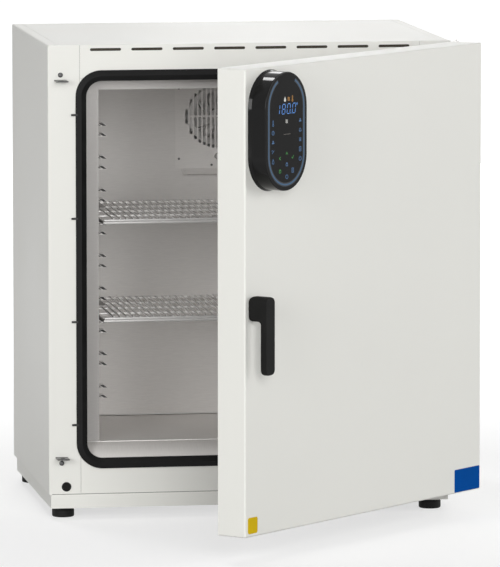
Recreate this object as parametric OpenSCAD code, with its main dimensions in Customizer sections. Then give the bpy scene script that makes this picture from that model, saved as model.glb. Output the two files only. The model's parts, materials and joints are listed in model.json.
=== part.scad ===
// Drying oven: a cabinet with a heated chamber, a hinged door with a two-bolt latch, two wire shelves
// and a circulation fan. Everything is drawn with the cabinet's front face at y = 0, its centre line at
// x = 0 and the floor at z = 0. The door is drawn shut, then swung open about its hinge.

/* [Cabinet] */
// Width over the side panels
cab_w = 730; // [710:1:800]
// Depth from the front face to the rear panel
cab_d = 515; // [505:1:600]
// Height of the top panel above the floor
cab_top = 851; // [845:1:900]
// Thickness of the painted steel sheet
sheet = 1.2; // [1:0.1:2]
// Outside radius of the bends in the painted sheet
bend_r = 3; // [2.2:0.1:5]
// Width of the seam between two painted panels
seam = 0.5; // [0.2:0.1:1]
// Width of the side panels' top return
top_return = 19; // [14:1:30]
// How far the front seam lies inside the gasket's outer edge
seam_under_gasket = 7.5; // [4:0.5:9]
// Height of the fascia's lower edge above the chamber's top, under the gasket
fascia_lap = 24; // [22:1:30]

/* [Vent slots] */
// Number of slots in the fascia
vent_count = 8; // [4:1:8]
// Length of one slot
vent_l = 56; // [30:1:62]
// Height of one slot
vent_h = 5; // [3:0.5:7]
// Distance from one slot to the next
vent_pitch = 74.5; // [68:0.5:78]
// Distance from the top panel down to the middle of the slots
vent_drop = 8.6; // [7:0.2:16]

/* [Base and feet] */
// Height of the feet
foot_h = 19.5; // [14:0.5:30]
// Radius of a foot
foot_r = 20; // [15:0.5:24]
// Radius of a foot's threaded stud
stud_r = 4; // [3:0.5:5]
// Distance from a foot's centre to the cabinet's side
foot_in_x = 30; // [28:1:60]
// Distance from the front feet's centre to the front face
foot_in_front = 37; // [28:1:60]
// Distance from the rear feet's centre to the rear panel
foot_in_rear = 43; // [43:1:80]
// Height of the base frame
base_h = 24.5; // [18:0.5:32]
// Set back of the base frame from each side panel
base_inset = 3.6; // [2:0.2:8]
// Set back of the base frame from the rear panel
base_inset_rear = 20; // [10:1:20]
// How far the base frame stands in front of the front face
base_proud = 1.5; // [0:0.1:3]

/* [Gasket] */
// Width over the gasket
gasket_w = 630; // [620:1:640]
// Height over the gasket
gasket_h = 715; // [700:1:718]
// Height of the gasket's lower edge above the base frame
gasket_up = 46.6; // [42:0.2:50]
// Width of the gasket's band
gasket_band = 19; // [15:0.5:20]
// How far the gasket stands out from the front face
gasket_proud = 8.5; // [6:0.1:8.6]
// Outer radius of the gasket's corners
gasket_corner = 47; // [40:1:60]
// Number of retaining pins on each side of the gasket
pin_count = 4; // [2:1:5]
// Distance from one retaining pin to the next
pin_pitch = 185.5; // [120:0.5:186]

/* [Chamber] */
// Clear width of the chamber
ch_w = 537.4; // [520:0.2:545]
// Clear height of the chamber
ch_h = 634; // [630:1:640]
// Clear depth from the inner frame to the air baffle
ch_d = 346; // [330:1:350]
// Depth of the chamber's inner frame behind the front face
collar_d = 38; // [34:0.5:40]
// Radius of the rounded ridge along the gasket
gasket_ridge = 1.2; // [0.8:0.1:2]
// Height of the sill between the gasket and the chamber floor
sill_rise = 24; // [20:1:28]
// Thickness of the stainless sheet
inox = 1; // [0.8:0.1:1.2]
// Depth of the fan space behind the air baffle
fan_space = 46; // [44:1:52]

/* [Shelf supports] */
// Number of support levels
level_count = 9; // [6:1:9]
// Distance from one support level to the next
level_pitch = 59; // [54:1:60]
// Height of the lowest support level above the chamber floor
level_first = 89.5; // [70:0.5:95]
// Half the distance between the two tabs of one level
tab_half_gap = 5.9; // [5:0.1:7]
// How far a tab stands out from the wall
tab_out = 10; // [6:0.5:12]
// Height of a tab at the wall
tab_h = 6; // [3:0.5:7]
// Length of a tab along the wall
tab_l = 14; // [8:1:20]
// Thickness of a tab's pressed-out sheet
tab_t = 0.8; // [0.6:0.1:1]
// Height of a shelf runner
runner_h = 32; // [26:0.5:40]
// Length of the front tabs that the runners leave free
runner_set_back = 8; // [7:0.5:10]
// Level that carries the lower shelf, counted from 1
low_level = 3; // [1:1:3]
// Level that carries the upper shelf, counted from 1
high_level = 6; // [5:1:7]

/* [Shelves] */
// Width over the shelf frame
shelf_w = 519; // [500:1:520]
// Depth over the shelf frame
shelf_d = 314; // [290:1:320]
// Set back of the shelf from the chamber's inner frame
shelf_set_back = 10; // [8:1:14]
// Diameter of the frame rods
frame_rod = 5; // [4:0.2:6]
// Diameter of the cross rods
cross_rod = 4; // [3:0.2:5]
// Diameter of the wires
wire = 3; // [2:0.1:4]
// Distance from one wire to the next
wire_pitch = 12; // [10:0.5:20]
// Number of cross rods between the front and back frame rods
cross_count = 3; // [2:1:5]

/* [Fan] */
// Height of the fan's axis above the chamber floor
fan_up = 552.5; // [530:0.5:560]
// Radius of the impeller
fan_r = 54; // [45:1:56]
// Number of impeller blades
blade_count = 10; // [6:1:12]
// Radius of the fan shaft
shaft_r = 4; // [3:0.5:5]
// Radius of the fan motor
motor_r = 40; // [30:1:42]
// Radius of the ring of heater tube round the impeller
coil_r = 74; // [70:0.5:76]
// Radius of the heater tube
tube_r = 4; // [3:0.5:4.5]

/* [Fan cover] */
// Width of the fan cover plate
cover_w = 158; // [150:1:180]
// Height of the cover plate above the fan's axis
cover_above = 76; // [68:1:78]
// Height of the cover plate below the fan's axis
cover_below = 96; // [90:1:110]
// Radius of the circle that the grille's slots fill
grille_r = 59; // [50:1:62]
// Number of slots in the grille
grille_count = 15; // [9:2:15]
// Distance from one slot to the next
grille_pitch = 8.2; // [7.4:0.1:8.4]
// Width of one slot
grille_slot = 5.2; // [3:0.1:5.8]
// Width of the bridge across the middle of the grille
grille_bridge = 3; // [2:0.5:6]
// How far the deflector lip along the cover's lower edge reaches forward
lip = 8; // [6:0.5:16]
// How far the deflector lip reaches down
lip_drop = 10.5; // [6:0.5:14]
// Set in of the deflector lip from the cover's sides
lip_in = 11; // [4:0.5:20]

/* [Rear vents] */
// Number of slots in each group
rear_slot_count = 6; // [3:1:8]
// Length of a rear slot
rear_slot_l = 90; // [60:1:100]
// Height of a rear slot
rear_slot_h = 4; // [3:0.5:6]
// Distance from one rear slot to the next
rear_slot_pitch = 14; // [10:0.5:20]
// Distance of the two lower groups from the cabinet's middle
rear_slot_side = 180; // [150:1:220]
// Height of the lowest rear slot above the base frame
rear_slot_up = 106; // [80:1:200]

/* [Labels] */
// Width of the blank plate at the door's lower corner
plate_w = 80; // [60:1:100]
// Height of the blank plate
plate_h = 41; // [30:1:50]
// Width of the blank marker at the other lower corner
marker_w = 28; // [20:1:40]

/* [Exhaust] */
// Outer radius of the exhaust spigot
spigot_r = 25; // [20:0.5:28]
// Wall of the exhaust spigot
spigot_wall = 1.5; // [1:0.1:2.5]
// How far the spigot stands out behind the rear panel
spigot_out = 25; // [15:1:40]
// Distance of the spigot to the right of the fan's axis
spigot_side = 190; // [150:1:200]

/* [Door] */
// Opening angle at which the door stands, from shut
door_angle = 45.4; // [0:0.1:105]
// Width of the door
door_w = 727.3; // [700:0.1:728]
// Thickness of the door
door_t = 57.4; // [50:0.2:70]
// Gap between the cabinet's face and the door's inner face
door_gap = 9; // [8.8:0.1:12]
// Gap below the door, above the base frame
door_foot_gap = 1.7; // [1:0.1:4]
// Set back of the door's top edge below the cabinet's top
door_top_gap = 0.4; // [0:0.1:4]
// Set in of the door's raised inner field from the gasket's inner edge
field_gap = 12; // [8:1:20]
// Height of the door's raised inner field
field_h = 5; // [3:0.5:6]

/* [Hinges] */
// Distance of the hinge axis outside the cabinet's side
hinge_out = 7.5; // [7.2:0.1:9]
// Distance of the hinge axis in front of the cabinet's face
hinge_front = 4.7; // [3:0.1:6]
// Radius of the hinge knuckles
knuckle_r = 6.4; // [5.6:0.1:7]
// Radius of the hinge pins
hinge_pin_r = 3.75; // [3:0.05:4]
// Length of one knuckle
knuckle_l = 29; // [20:1:40]
// Thickness of the hinge straps
strap_t = 2; // [1.5:0.1:2.2]
// Length of the hinge straps
strap_l = 32; // [20:1:45]

/* [Latch] */
// Distance of the latch line from the cabinet's latch side
latch_in = 23; // [21:0.5:26]
// Height of the handle's axis above the floor
handle_z = 441; // [380:1:500]
// Width of the handle
grip_w = 25; // [20:0.5:28]
// Height of the handle's neck
neck_h = 42; // [30:1:50]
// Length of the handle from the top of its neck to the end of its grip
handle_l = 135; // [110:1:160]
// How far the handle stands out from the door
grip_reach = 38; // [32:0.5:50]
// Thickness of the grip
grip_t = 11.7; // [9:0.1:14]
// Corner radius of the handle, seen from the front
grip_corner_r = 11; // [4:0.5:12]
// Thickness of the rosette under the handle
rosette_t = 1; // [0.8:0.1:4]
// Tooth module of the pinion and the racks
tooth_m = 1; // [0.9:0.05:1.1]
// Number of teeth on the pinion
tooth_count = 16; // [14:2:18]
// Pressure angle of the teeth
tooth_angle = 25; // [24:1:27]
// Play between the teeth, measured along the pitch line
tooth_play = 0.3; // [0.2:0.05:0.5]
// Radius of the bolts
bolt_r = 4; // [3:0.25:4]
// Thickness of the pinion, the racks and their bridges
rack_t = 8; // [6:0.5:8]
// Gap between a drawn bolt and its catch plate
bolt_gap = 3; // [2:0.5:5]
// Height of the upper catch plate above the floor
catch_high = 788; // [760:1:800]
// Height of the lower catch plate above the floor
catch_low = 111; // [104:1:125]
// Width of a catch plate
catch_w = 21.6; // [18:0.2:24]
// How far a catch plate stands out from the cabinet's face
catch_out = 29; // [27:0.5:32]
// Thickness of a catch plate
catch_t = 2; // [1.5:0.1:3]

/* [Control pod] */
// Width of the pod
pod_w = 123; // [110:1:130]
// Height of the pod
pod_h = 204; // [180:1:215]
// Depth of the pod
pod_d = 35; // [28:1:40]
// Distance of the pod from the door's free edge
pod_in = 10.7; // [8:0.1:30]
// Distance of the pod's top below the door's top
pod_drop = 6.6; // [4:0.2:30]
// Radius of the pod's front edge
pod_edge = 1.5; // [1:0.5:4]
// Height of the flared foot along the pod's rear edge
pod_foot = 6; // [3:0.5:9]
// How far the pod's foot flares out
pod_flare = 2.5; // [1:0.5:4]
// Wall of the pod
pod_wall = 3; // [2:0.5:4]
// Set in of the glass from the pod's side
glass_in = 1.5; // [1.5:0.5:8]
// Thickness of the glass
glass_t = 2; // [1.6:0.1:3]
// Set in of the light ring from the pod's side
ring_in = 8.5; // [7:0.5:14]
// Width of the light ring
ring_w = 3; // [1:0.1:4]
// Length of the gap at the top of the light ring
ring_gap = 62; // [30:1:70]
// Distance of the light ring's middle below the pod's middle
ring_drop = 1.5; // [0:0.1:4]

/* [Hidden] */
$fn = 64;

// Clearances
slip = 0.3;          // between parts that slide or only lie beside each other
running = 0.05;      // radial, round a shaft or a bolt
bolt_running = 0.06; // radial, round a bolt in its guide
weld = 0.4;          // depth to which crossing wires are welded into each other
wool_gap = (bend_r - sheet) * (1 - sqrt(0.5)) + slip; // between the insulation and the skin's bends

// Heights and half widths of the cabinet
half_w = cab_w / 2;
base_top = foot_h + base_h;
base_half = half_w - base_inset;
base_back = cab_d - base_inset_rear;
seam_x = gasket_w / 2 - seam_under_gasket;
top_seam_x = half_w - top_return;
skin_zone = bend_r + 2;
foot_x = half_w - foot_in_x;
foot_front = foot_in_front;
foot_back = cab_d - foot_in_rear;
corner_plate = 70;
corner_plate_t = 2;
foot_chamfer = 3;
stud_l = 16;

// Gasket and chamber
gasket_z0 = base_top + gasket_up;
gasket_z1 = gasket_z0 + gasket_h;
collar_half = gasket_w / 2 - gasket_band;
collar_z0 = gasket_z0 + gasket_band;
collar_z1 = gasket_z1 - gasket_band;
collar_corner = gasket_corner - gasket_band;
floor_z = collar_z0 + sill_rise;
roof_z = floor_z + ch_h;
fascia_z = roof_z + fascia_lap;
ch_half = ch_w / 2;
frame_y = collar_d;
baffle_y = frame_y + inox + ch_d;
collar_seam = 0.8;
liner_half = ch_half + inox + slip;
liner_back = baffle_y + inox + fan_space;
fan_z = floor_z + fan_up;
scoop_r = ((frame_y - inox) * (frame_y - inox) + sill_rise * sill_rise) / (2 * sill_rise);

// Shelf supports
function level_z(n) = floor_z + level_first + (n - 1) * level_pitch;
tab_front = frame_y + shelf_set_back;
tab_rear_gap = 27;
tab_back = baffle_y - tab_rear_gap - tab_l;
runner_t = 1.5;
runner_flange = 16;
runner_y0 = tab_front + runner_set_back;
runner_past = 6;
runner_y1 = tab_back + tab_l + runner_past;
runner_low = tab_half_gap - slip - runner_t;
rod_z0 = tab_half_gap + frame_rod / 2;
wire_rows = floor((shelf_w / 2 - frame_rod - wire) / wire_pitch);
shelf_y0 = frame_y + shelf_set_back;

// Fan cover
cover_t = 1;
lip_taper = 3;
probe_down = 74;
probe_out = 10;
probe_flange = 3;
probe_hole_r = 5.5;
probe_r = 4.6;
screw_in = 7;
cover_screw_up = [52, -78];
cover_screw_side = 11;
cover_screw_r = 2.2;

// Air baffle
baffle_slot_in = 16;
baffle_slot_w = 9;
baffle_slot_h = 32;
stay_r = 5;
stay_in = 40;
stay_down = 30;

// Fan, heater and motor
fan_front = 7;
fan_rear = 10;
coil_rear = 18;
coil_pitch = 12;
coil_leg = 3 * tube_r;
coil_gap = probe_r + 1.5;
coil_leg_l = 20;
motor_gap = 22;
motor_front = liner_back + motor_gap;
motor_back = cab_d - sheet - 8;
motor_end = 6;
motor_flange = 4;
motor_flange_t = 3;
motor_neck = 12;
shaft_in = 19.5;

// Rear of the cabinet
rear_space = 24;
spigot_z = fan_z + 10;
spigot_back = cab_d + spigot_out;
spigot_flange = 6;
spigot_flange_t = 1.5;
inlet_from_side = 115;
inlet_up = 76;
inlet_x = inlet_from_side - half_w;
inlet_z = base_top + inlet_up;
inlet_rim = 2.5;
inlet_in = 20;
inlet_w = 47;
inlet_h = 27;
inlet_body_w = 38;
inlet_body_h = 24;
socket_w = 28;
socket_h = 18;
socket_d = 16;

// Door
door_half = door_w / 2;
door_back = -door_gap;
door_front = -door_gap - door_t;
door_z0 = base_top + door_foot_gap;
door_z1 = cab_top - door_top_gap;
hinge_x = half_w + hinge_out;
hinge_y = -hinge_front;
pan_in = sheet + slip;
pan_lip = 14;
pan_t = 1.2;
pan_y = door_back - pan_t;

// Hinges
knuckle_top = door_z1 - 1;
high_hinge_z = knuckle_top - 2 * knuckle_l - slip;
hinge_inset = 60;
low_hinge_z = door_z0 + hinge_inset;
hinge_pin_up = 3.6;

// Latch
latch_x = -half_w + latch_in;
latch_y = door_back - 10.5;
pitch_r = tooth_m * tooth_count / 2;
root_r = pitch_r - 1.25 * tooth_m;
tip_r = pitch_r + tooth_m;
base_r = pitch_r * cos(tooth_angle);
rack_back = 4;
rack_in = pitch_r + 1.25 * tooth_m;
rack_out = rack_in + rack_back;
rack_span = 20;
bridge_z = 18;
bridge_h = 6;
bolt_travel = pitch_r * PI / 2;
catch_hole_r = bolt_r + 0.6;
catch_leg = 21;
catch_screw = 10;
guide_l = 12;
guide_gap = 14;
case_half_h = 30;
case_wall = 2.5;
case_half_w = rack_out + 1.25 + case_wall;
case_depth = 20;
spindle_r = 5;
spindle_side = 8;
pivot_r = 3;
rosette_r = 12;
bush_r = 7;
bush_l = 6;
neck_round = 8;
grip_round = 4;
plug_x = -half_w + 31.5;
plug_z = base_top + 14.3;
plug_r = 9;

// Pod
pod_x = -door_half + pod_in + pod_w / 2;
pod_z = door_z1 - pod_drop - pod_h / 2;
pod_straight = pod_h / 2 - pod_w / 2;
board_t = 1.6;
board_y = 8;

// Labels
plate_t = 0.5;
plate_in = 3;
plate_up = 2;
marker_t = 0.4;
marker_in = 8;
marker_up = 6;

// The object stands with its origin in the middle of its floor area, door open as drawn
function swung(x, y) = [
    hinge_x + (x - hinge_x) * cos(door_angle) - (y - hinge_y) * sin(door_angle),
    hinge_y + (x - hinge_x) * sin(door_angle) + (y - hinge_y) * cos(door_angle)];
door_corner = swung(door_half, door_front);
grip_corner = swung(latch_x - grip_w / 2, door_front - grip_reach);
right_reach = max(door_corner.x, hinge_x + knuckle_r);
origin_x = (right_reach - half_w) / 2;
origin_y = (spigot_back + min(grip_corner.y, door_front - grip_reach)) / 2;

// Placing

module placed() {
    translate([-origin_x, -origin_y, 0]) children();
}

module hung() {
    placed() translate([hinge_x, hinge_y, 0]) rotate([0, 0, door_angle])
        translate([-hinge_x, -hinge_y, 0]) children();
}

// Helpers

module block(low, high) {
    translate(low) cube(high - low);
}

module along_x(x0, x1) {
    translate([x0, 0, 0]) rotate([90, 0, 90]) linear_extrude(x1 - x0) children();
}

module along_y(y0, y1) {
    translate([0, y1, 0]) rotate([90, 0, 0]) linear_extrude(y1 - y0) children();
}

module along_z(z0, z1) {
    translate([0, 0, z0]) linear_extrude(z1 - z0) children();
}

module rod_y(x, z, r, y0, y1) {
    translate([x, y1, z]) rotate([90, 0, 0]) cylinder(r = r, h = y1 - y0);
}

module rod_x(y, z, r, x0, x1) {
    translate([x0, y, z]) rotate([0, 90, 0]) cylinder(r = r, h = x1 - x0);
}

module rod_z(x, y, r, z0, z1) {
    translate([x, y, z0]) cylinder(r = r, h = z1 - z0);
}

// Flat rectangle with round corners, between two corners
module pane(low, high, r) {
    translate([low.x + r, low.y]) square([high.x - low.x - 2 * r, high.y - low.y]);
    translate([low.x, low.y + r]) square([high.x - low.x, high.y - low.y - 2 * r]);
    for (x = [low.x + r, high.x - r], y = [low.y + r, high.y - r]) translate([x, y]) circle(r);
}

// Slot with round ends, centred on a point
module slot(centre, l, h) {
    translate(centre) {
        square([l - h, h], center = true);
        for (side = [-1, 1]) translate([side * (l - h) / 2, 0]) circle(h / 2);
    }
}

module left_and_right() {
    children();
    mirror([1, 0, 0]) children();
}

// Painted skin of the cabinet, one bent shell that the panels share out between them

module skin_body(inset) {
    intersection() {
        along_z(base_top, cab_top)
            pane([-half_w + inset, inset], [half_w - inset, cab_d - inset], bend_r - inset);
        along_y(0, cab_d) pane([-half_w + inset, base_top + inset],
                               [half_w - inset, cab_top - inset], bend_r - inset);
    }
}

module skin() {
    difference() {
        skin_body(0);
        skin_body(sheet);
    }
}

module side_panel() {
    intersection() {
        skin();
        union() {
            block([-half_w - 1, -1, 0], [-top_seam_x, cab_d + 1, cab_top + 1]);
            block([-half_w - 1, -1, 0], [-seam_x, skin_zone, cab_top + 1]);
        }
    }
}

module left_side_panel() {
    color("whitesmoke") difference() {
        side_panel();
        for (z = [catch_high, catch_low])
            block([latch_x - catch_w / 2 - slip, -1, z - catch_t / 2 - slip],
                  [latch_x + catch_w / 2 + slip, skin_zone, z + catch_t / 2 + slip]);
        for (z = [catch_high + catch_screw, catch_low - catch_screw])
            rod_y(latch_x, z, 2.2, -1, skin_zone);
        rod_y(plug_x, plug_z, plug_r - 2, -1, skin_zone);
    }
}

module right_side_panel() {
    color("whitesmoke") difference() {
        mirror([1, 0, 0]) side_panel();
        rod_y(-plug_x, plug_z, plug_r - 2, -1, skin_zone);
    }
}

module top_panel() {
    color("white") difference() {
        intersection() {
            skin();
            union() {
                block([-seam_x + seam, -1, fascia_z], [seam_x - seam, skin_zone, cab_top + 1]);
                block([-top_seam_x + seam, skin_zone + seam, cab_top - skin_zone],
                      [top_seam_x - seam, cab_d + 1, cab_top + 1]);
                block([-seam_x + seam, skin_zone - 1, cab_top - sheet],
                      [seam_x - seam, skin_zone + 1, cab_top + 1]);
            }
        }
        along_y(-1, skin_zone) for (n = [0 : vent_count - 1])
            slot([(n - (vent_count - 1) / 2) * vent_pitch, cab_top - vent_drop], vent_l, vent_h);
    }
}

module front_frame() {
    color("whitesmoke") along_y(0, sheet) difference() {
        translate([-seam_x + seam, base_top])
            square([2 * (seam_x - seam), fascia_z - slip - base_top]);
        pane([-collar_half - inox, collar_z0 - inox], [collar_half + inox, collar_z1 + inox],
             collar_corner + inox);
    }
}

module rear_panel() {
    color("whitesmoke") along_y(cab_d - sheet, cab_d) difference() {
        translate([-top_seam_x + seam, base_top])
            square([2 * (top_seam_x - seam), cab_top - skin_zone - seam - base_top]);
        translate([spigot_side, spigot_z]) circle(spigot_r + slip);
        translate([inlet_x, inlet_z])
            square([inlet_body_w + 2 * slip, inlet_body_h + 2 * slip], center = true);
        for (row = [0 : rear_slot_count - 1]) {
            up = row * rear_slot_pitch;
            slot([0, fan_z + motor_r - up], rear_slot_l, rear_slot_h);
            for (side = [-1, 1]) slot([side * rear_slot_side, base_top + rear_slot_up + up],
                                      rear_slot_l, rear_slot_h);
        }
    }
}

module base_frame() {
    color("whitesmoke") difference() {
        union() {
            difference() {
                along_x(-base_half, base_half)
                    pane([-base_proud, foot_h - bend_r], [base_back, base_top], bend_r);
                block([-base_half + sheet, -base_proud + sheet, 0],
                      [base_half - sheet, base_back - sheet, base_top - sheet]);
                block([-half_w, -base_proud - 1, foot_h - bend_r - 1], [half_w, cab_d, foot_h]);
            }
            for (x = [-base_half + sheet - 0.5, base_half - sheet - corner_plate + 0.5],
                 y = [sheet - base_proud - 0.5, base_back - sheet - corner_plate + 0.5])
                block([x, y, foot_h], [x + corner_plate, y + corner_plate, foot_h + corner_plate_t]);
        }
        for (x = [-foot_x, foot_x], y = [foot_front, foot_back])
            rod_z(x, y, stud_r + slip, foot_h - 1, base_top - sheet - 1);
    }
}

module feet() {
    color([0.1, 0.1, 0.1]) for (x = [-foot_x, foot_x], y = [foot_front, foot_back])
        translate([x, y, 0]) rotate_extrude() polygon([
            [0, 0], [foot_r - foot_chamfer, 0], [foot_r, foot_chamfer], [foot_r, foot_h],
            [stud_r, foot_h], [stud_r, foot_h + stud_l], [0, foot_h + stud_l]]);
}

// Insulation and chamber

module insulation() {
    front = skin_zone + 2;
    color("khaki") difference() {
        block([-half_w + sheet + wool_gap, front, base_top + sheet + wool_gap],
              [half_w - sheet - wool_gap, cab_d - rear_space, cab_top - sheet - wool_gap]);
        block([-liner_half - inox - slip, front - 1, floor_z - 2 * inox - slip],
              [liner_half + inox + slip, liner_back + inox + slip, roof_z + 2 * inox + slip]);
        block([-collar_half - inox - 2, front - 1, collar_z0 - inox - 2],
              [collar_half + inox + 2, frame_y + 2 * inox, collar_z1 + inox + 2]);
        rod_y(0, fan_z, motor_r + 6, liner_back - 1, cab_d);
        rod_y(spigot_side, spigot_z, spigot_r + slip, liner_back + 4, cab_d);
        rod_y(spigot_side, spigot_z, spigot_r + spigot_flange + 2, liner_back - 1, liner_back + 4);
        for (x = [-coil_leg, coil_leg])
            rod_y(x, fan_z - coil_r, tube_r + 2, liner_back - 1, cab_d);
        rod_y(0, fan_z - probe_down, probe_r + probe_flange + 2, liner_back - 1, cab_d);
        for (z = [catch_high, catch_low])
            block([latch_x - catch_w, front - 1, z - 30], [latch_x + catch_w, front + 6, z + 30]);
        for (x = [-plug_x, plug_x]) rod_y(x, plug_z, plug_r, front - 1, front + 6);
    }
}

module chamber_liner() {
    color("silver") difference() {
        block([-liner_half - inox, frame_y + inox, floor_z - 2 * inox],
              [liner_half + inox, liner_back + inox, roof_z + 2 * inox]);
        block([-liner_half, frame_y, floor_z - inox], [liner_half, liner_back, roof_z + inox]);
        rod_y(0, fan_z, shaft_r + 2, liner_back - 1, liner_back + 2 * inox);
        rod_y(spigot_side, spigot_z, spigot_r - spigot_wall + 1, liner_back - 1, liner_back + 2 * inox);
        for (x = [-coil_leg, coil_leg])
            rod_y(x, fan_z - coil_r, tube_r + slip, liner_back - 1, liner_back + 2 * inox);
        rod_y(0, fan_z - probe_down, probe_r + slip, liner_back - 1, liner_back + 2 * inox);
    }
}

module front_collar() {
    color([0.68, 0.67, 0.65]) difference() {
        collar_body();
        // seams where the inner frame's upright strips meet its upper strip
        for (side = [-1, 1])
            block([side * ch_half - collar_seam / 2, frame_y - 1, roof_z - 1],
                  [side * ch_half + collar_seam / 2, frame_y + inox / 2, collar_z1 - 1]);
    }
}

module collar_body() {
    intersection() {
        union() {
            // tube from the front face back to the inner frame
            along_y(0, frame_y + inox) difference() {
                pane([-collar_half - inox, collar_z0 - inox], [collar_half + inox, collar_z1 + inox],
                     collar_corner + inox);
                pane([-collar_half, collar_z0], [collar_half, collar_z1], collar_corner);
            }
            // inner frame round the chamber's mouth
            along_y(frame_y, frame_y + inox) difference() {
                pane([-collar_half - inox, collar_z0 - inox], [collar_half + inox, collar_z1 + inox],
                     collar_corner + inox);
                translate([-ch_half, floor_z]) square([ch_w, ch_h]);
            }
            // hollow sill that rises from the gasket to the chamber floor
            along_x(-collar_half, collar_half) difference() {
                translate([inox, collar_z0]) square([frame_y - inox, sill_rise]);
                translate([inox, collar_z0 + scoop_r]) circle(scoop_r);
            }
        }
        along_y(0, frame_y + inox) pane([-collar_half - inox, collar_z0 - inox],
            [collar_half + inox, collar_z1 + inox], collar_corner + inox);
    }
}

// Side view of a tab, a lanced louvre, and of the hollow behind it
module tab_side() {
    polygon([[-inox / 2, 0], [tab_out, 0], [0, tab_h], [-inox / 2, tab_h]]);
}

module tab_hollow() {
    slant = sqrt(tab_out * tab_out + tab_h * tab_h);
    tip = tab_out * (1 - tab_t / tab_h) - tab_t * slant / tab_h;
    top = tab_h - tab_t * slant / tab_out;
    polygon([[-2 * inox, tab_t], [tip, tab_t], [0, top], [-2 * inox, top]]);
}

module at_tabs() {
    for (n = [1 : level_count], side = [-1, 1], y = [tab_front, tab_back])
        translate([-ch_half, y, level_z(n) + side * tab_half_gap - (side < 0 ? tab_h : 0)]) children();
}

// Wall plate with its pressed-out tabs, open towards the front, drawn for the left side
module rack_wall() {
    difference() {
        union() {
            block([-ch_half - inox, frame_y + inox + slip, floor_z], [-ch_half, baffle_y - slip, roof_z]);
            at_tabs() along_y(0, tab_l) tab_side();
        }
        at_tabs() along_y(-1, tab_l - tab_t) tab_hollow();
    }
}

module left_rack_wall() {
    color("silver") rack_wall();
}

module right_rack_wall() {
    color("silver") mirror([1, 0, 0]) rack_wall();
}

module rear_baffle() {
    color([0.62, 0.61, 0.59]) union() {
        along_y(baffle_y, baffle_y + inox) difference() {
            translate([-ch_half - inox, floor_z]) square([ch_w + 2 * inox, ch_h]);
            translate([0, fan_z]) circle(grille_r + 2);
            translate([0, fan_z - probe_down]) circle(probe_hole_r);
            for (n = [1 : level_count], side = [-1, 1])
                translate([side * (ch_half - baffle_slot_in), level_z(n)])
                    square([baffle_slot_w, baffle_slot_h], center = true);
        }
        for (x = [-ch_half + stay_in, ch_half - stay_in], z = [floor_z + stay_down, roof_z - stay_down])
            rod_y(x, z, stay_r, baffle_y + inox / 2, liner_back);
    }
}

// Fan, its cover, and what heats and measures the air

module grille_slots() {
    for (n = [0 : grille_count - 1]) {
        x = (n - (grille_count - 1) / 2) * grille_pitch;
        half = sqrt(grille_r * grille_r - x * x);
        outer = n == 0 || n == grille_count - 1;
        if (outer) rotate(90) slot([0, -x], 2 * half, grille_slot);
        else for (side = [-1, 1])
            rotate(90) slot([side * (half + grille_bridge / 2) / 2, -x], half - grille_bridge / 2,
                            grille_slot);
    }
}

module fan_cover() {
    color([0.66, 0.65, 0.63]) union() {
        along_y(baffle_y - cover_t, baffle_y) difference() {
            translate([-cover_w / 2, fan_z - cover_below]) square([cover_w, cover_above + cover_below]);
            translate([0, fan_z]) grille_slots();
            translate([0, fan_z - probe_down]) circle(probe_hole_r);
        }
        intersection() {
            translate([0, baffle_y - cover_t, fan_z - cover_below]) along_x(-cover_w / 2, cover_w / 2)
                polygon([[0, 0], [cover_t, 0], [cover_t - lip, -lip_drop], [-lip, -lip_drop]]);
            along_y(baffle_y - cover_t - lip, baffle_y) translate([0, fan_z - cover_below])
                polygon([[-cover_w / 2 + lip_in, 1], [cover_w / 2 - lip_in, 1],
                         [cover_w / 2 - lip_in - lip_taper, -lip_drop - 1],
                         [-cover_w / 2 + lip_in + lip_taper, -lip_drop - 1]]);
        }
    }
}

module pan_head(r, h) {
    rotate([90, 0, 0]) rotate_extrude() intersection() {
        translate([0, h - 2 * r]) circle(2 * r);
        square([r, h]);
    }
}

module cover_screws() {
    color("dimgray") {
        for (side = [-1, 1], up = cover_screw_up)
            translate([side * (cover_w / 2 - screw_in), baffle_y - cover_t, fan_z + up])
                pan_head(cover_screw_r, 1.4);
        for (side = [-1, 1])
            translate([side * cover_screw_side, baffle_y - cover_t, fan_z - cover_below + screw_in - 1])
                pan_head(cover_screw_r, 1.4);
    }
}

module temperature_probe() {
    z = fan_z - probe_down;
    color("lightgray") {
        rod_y(0, z, probe_r, baffle_y - probe_out, liner_back + motor_gap - 4);
        rod_y(0, z, probe_r + probe_flange, liner_back + inox, liner_back + 6);
    }
}

module heater_coil() {
    front = liner_back - coil_rear - coil_pitch;
    color([0.35, 0.33, 0.32]) difference() {
        union() {
            for (y = [front, front + coil_pitch])
                translate([0, y, fan_z]) rotate([90, 0, 0]) rotate_extrude()
                    translate([coil_r, 0]) circle(tube_r);
            for (x = [-coil_leg, coil_leg])
                rod_y(x, fan_z - coil_r, tube_r, front, liner_back + coil_leg_l);
        }
        block([-coil_gap, front - 2 * tube_r, fan_z - coil_r - 2 * tube_r],
              [coil_gap, front + coil_pitch + 2 * tube_r, fan_z - coil_r + 2 * tube_r]);
    }
}

module fan_motor() {
    color([0.3, 0.3, 0.32]) difference() {
        union() {
            rod_y(0, fan_z, motor_neck, liner_back + 6, motor_front + 1);
            rod_y(0, fan_z, motor_r + motor_flange, motor_front, motor_front + motor_flange_t);
            rod_y(0, fan_z, motor_r, motor_front, motor_back - motor_end);
            rod_y(0, fan_z, motor_r - 8, motor_front, motor_back);
            for (turn = [0 : 120 : 240])
                translate([0, 0, fan_z]) rotate([0, turn, 0])
                    rod_y(0, motor_r - 4, 4, liner_back + inox, motor_front + 1);
        }
        rod_y(0, fan_z, shaft_r + running, liner_back, motor_front + shaft_in + 0.5);
    }
}

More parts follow.
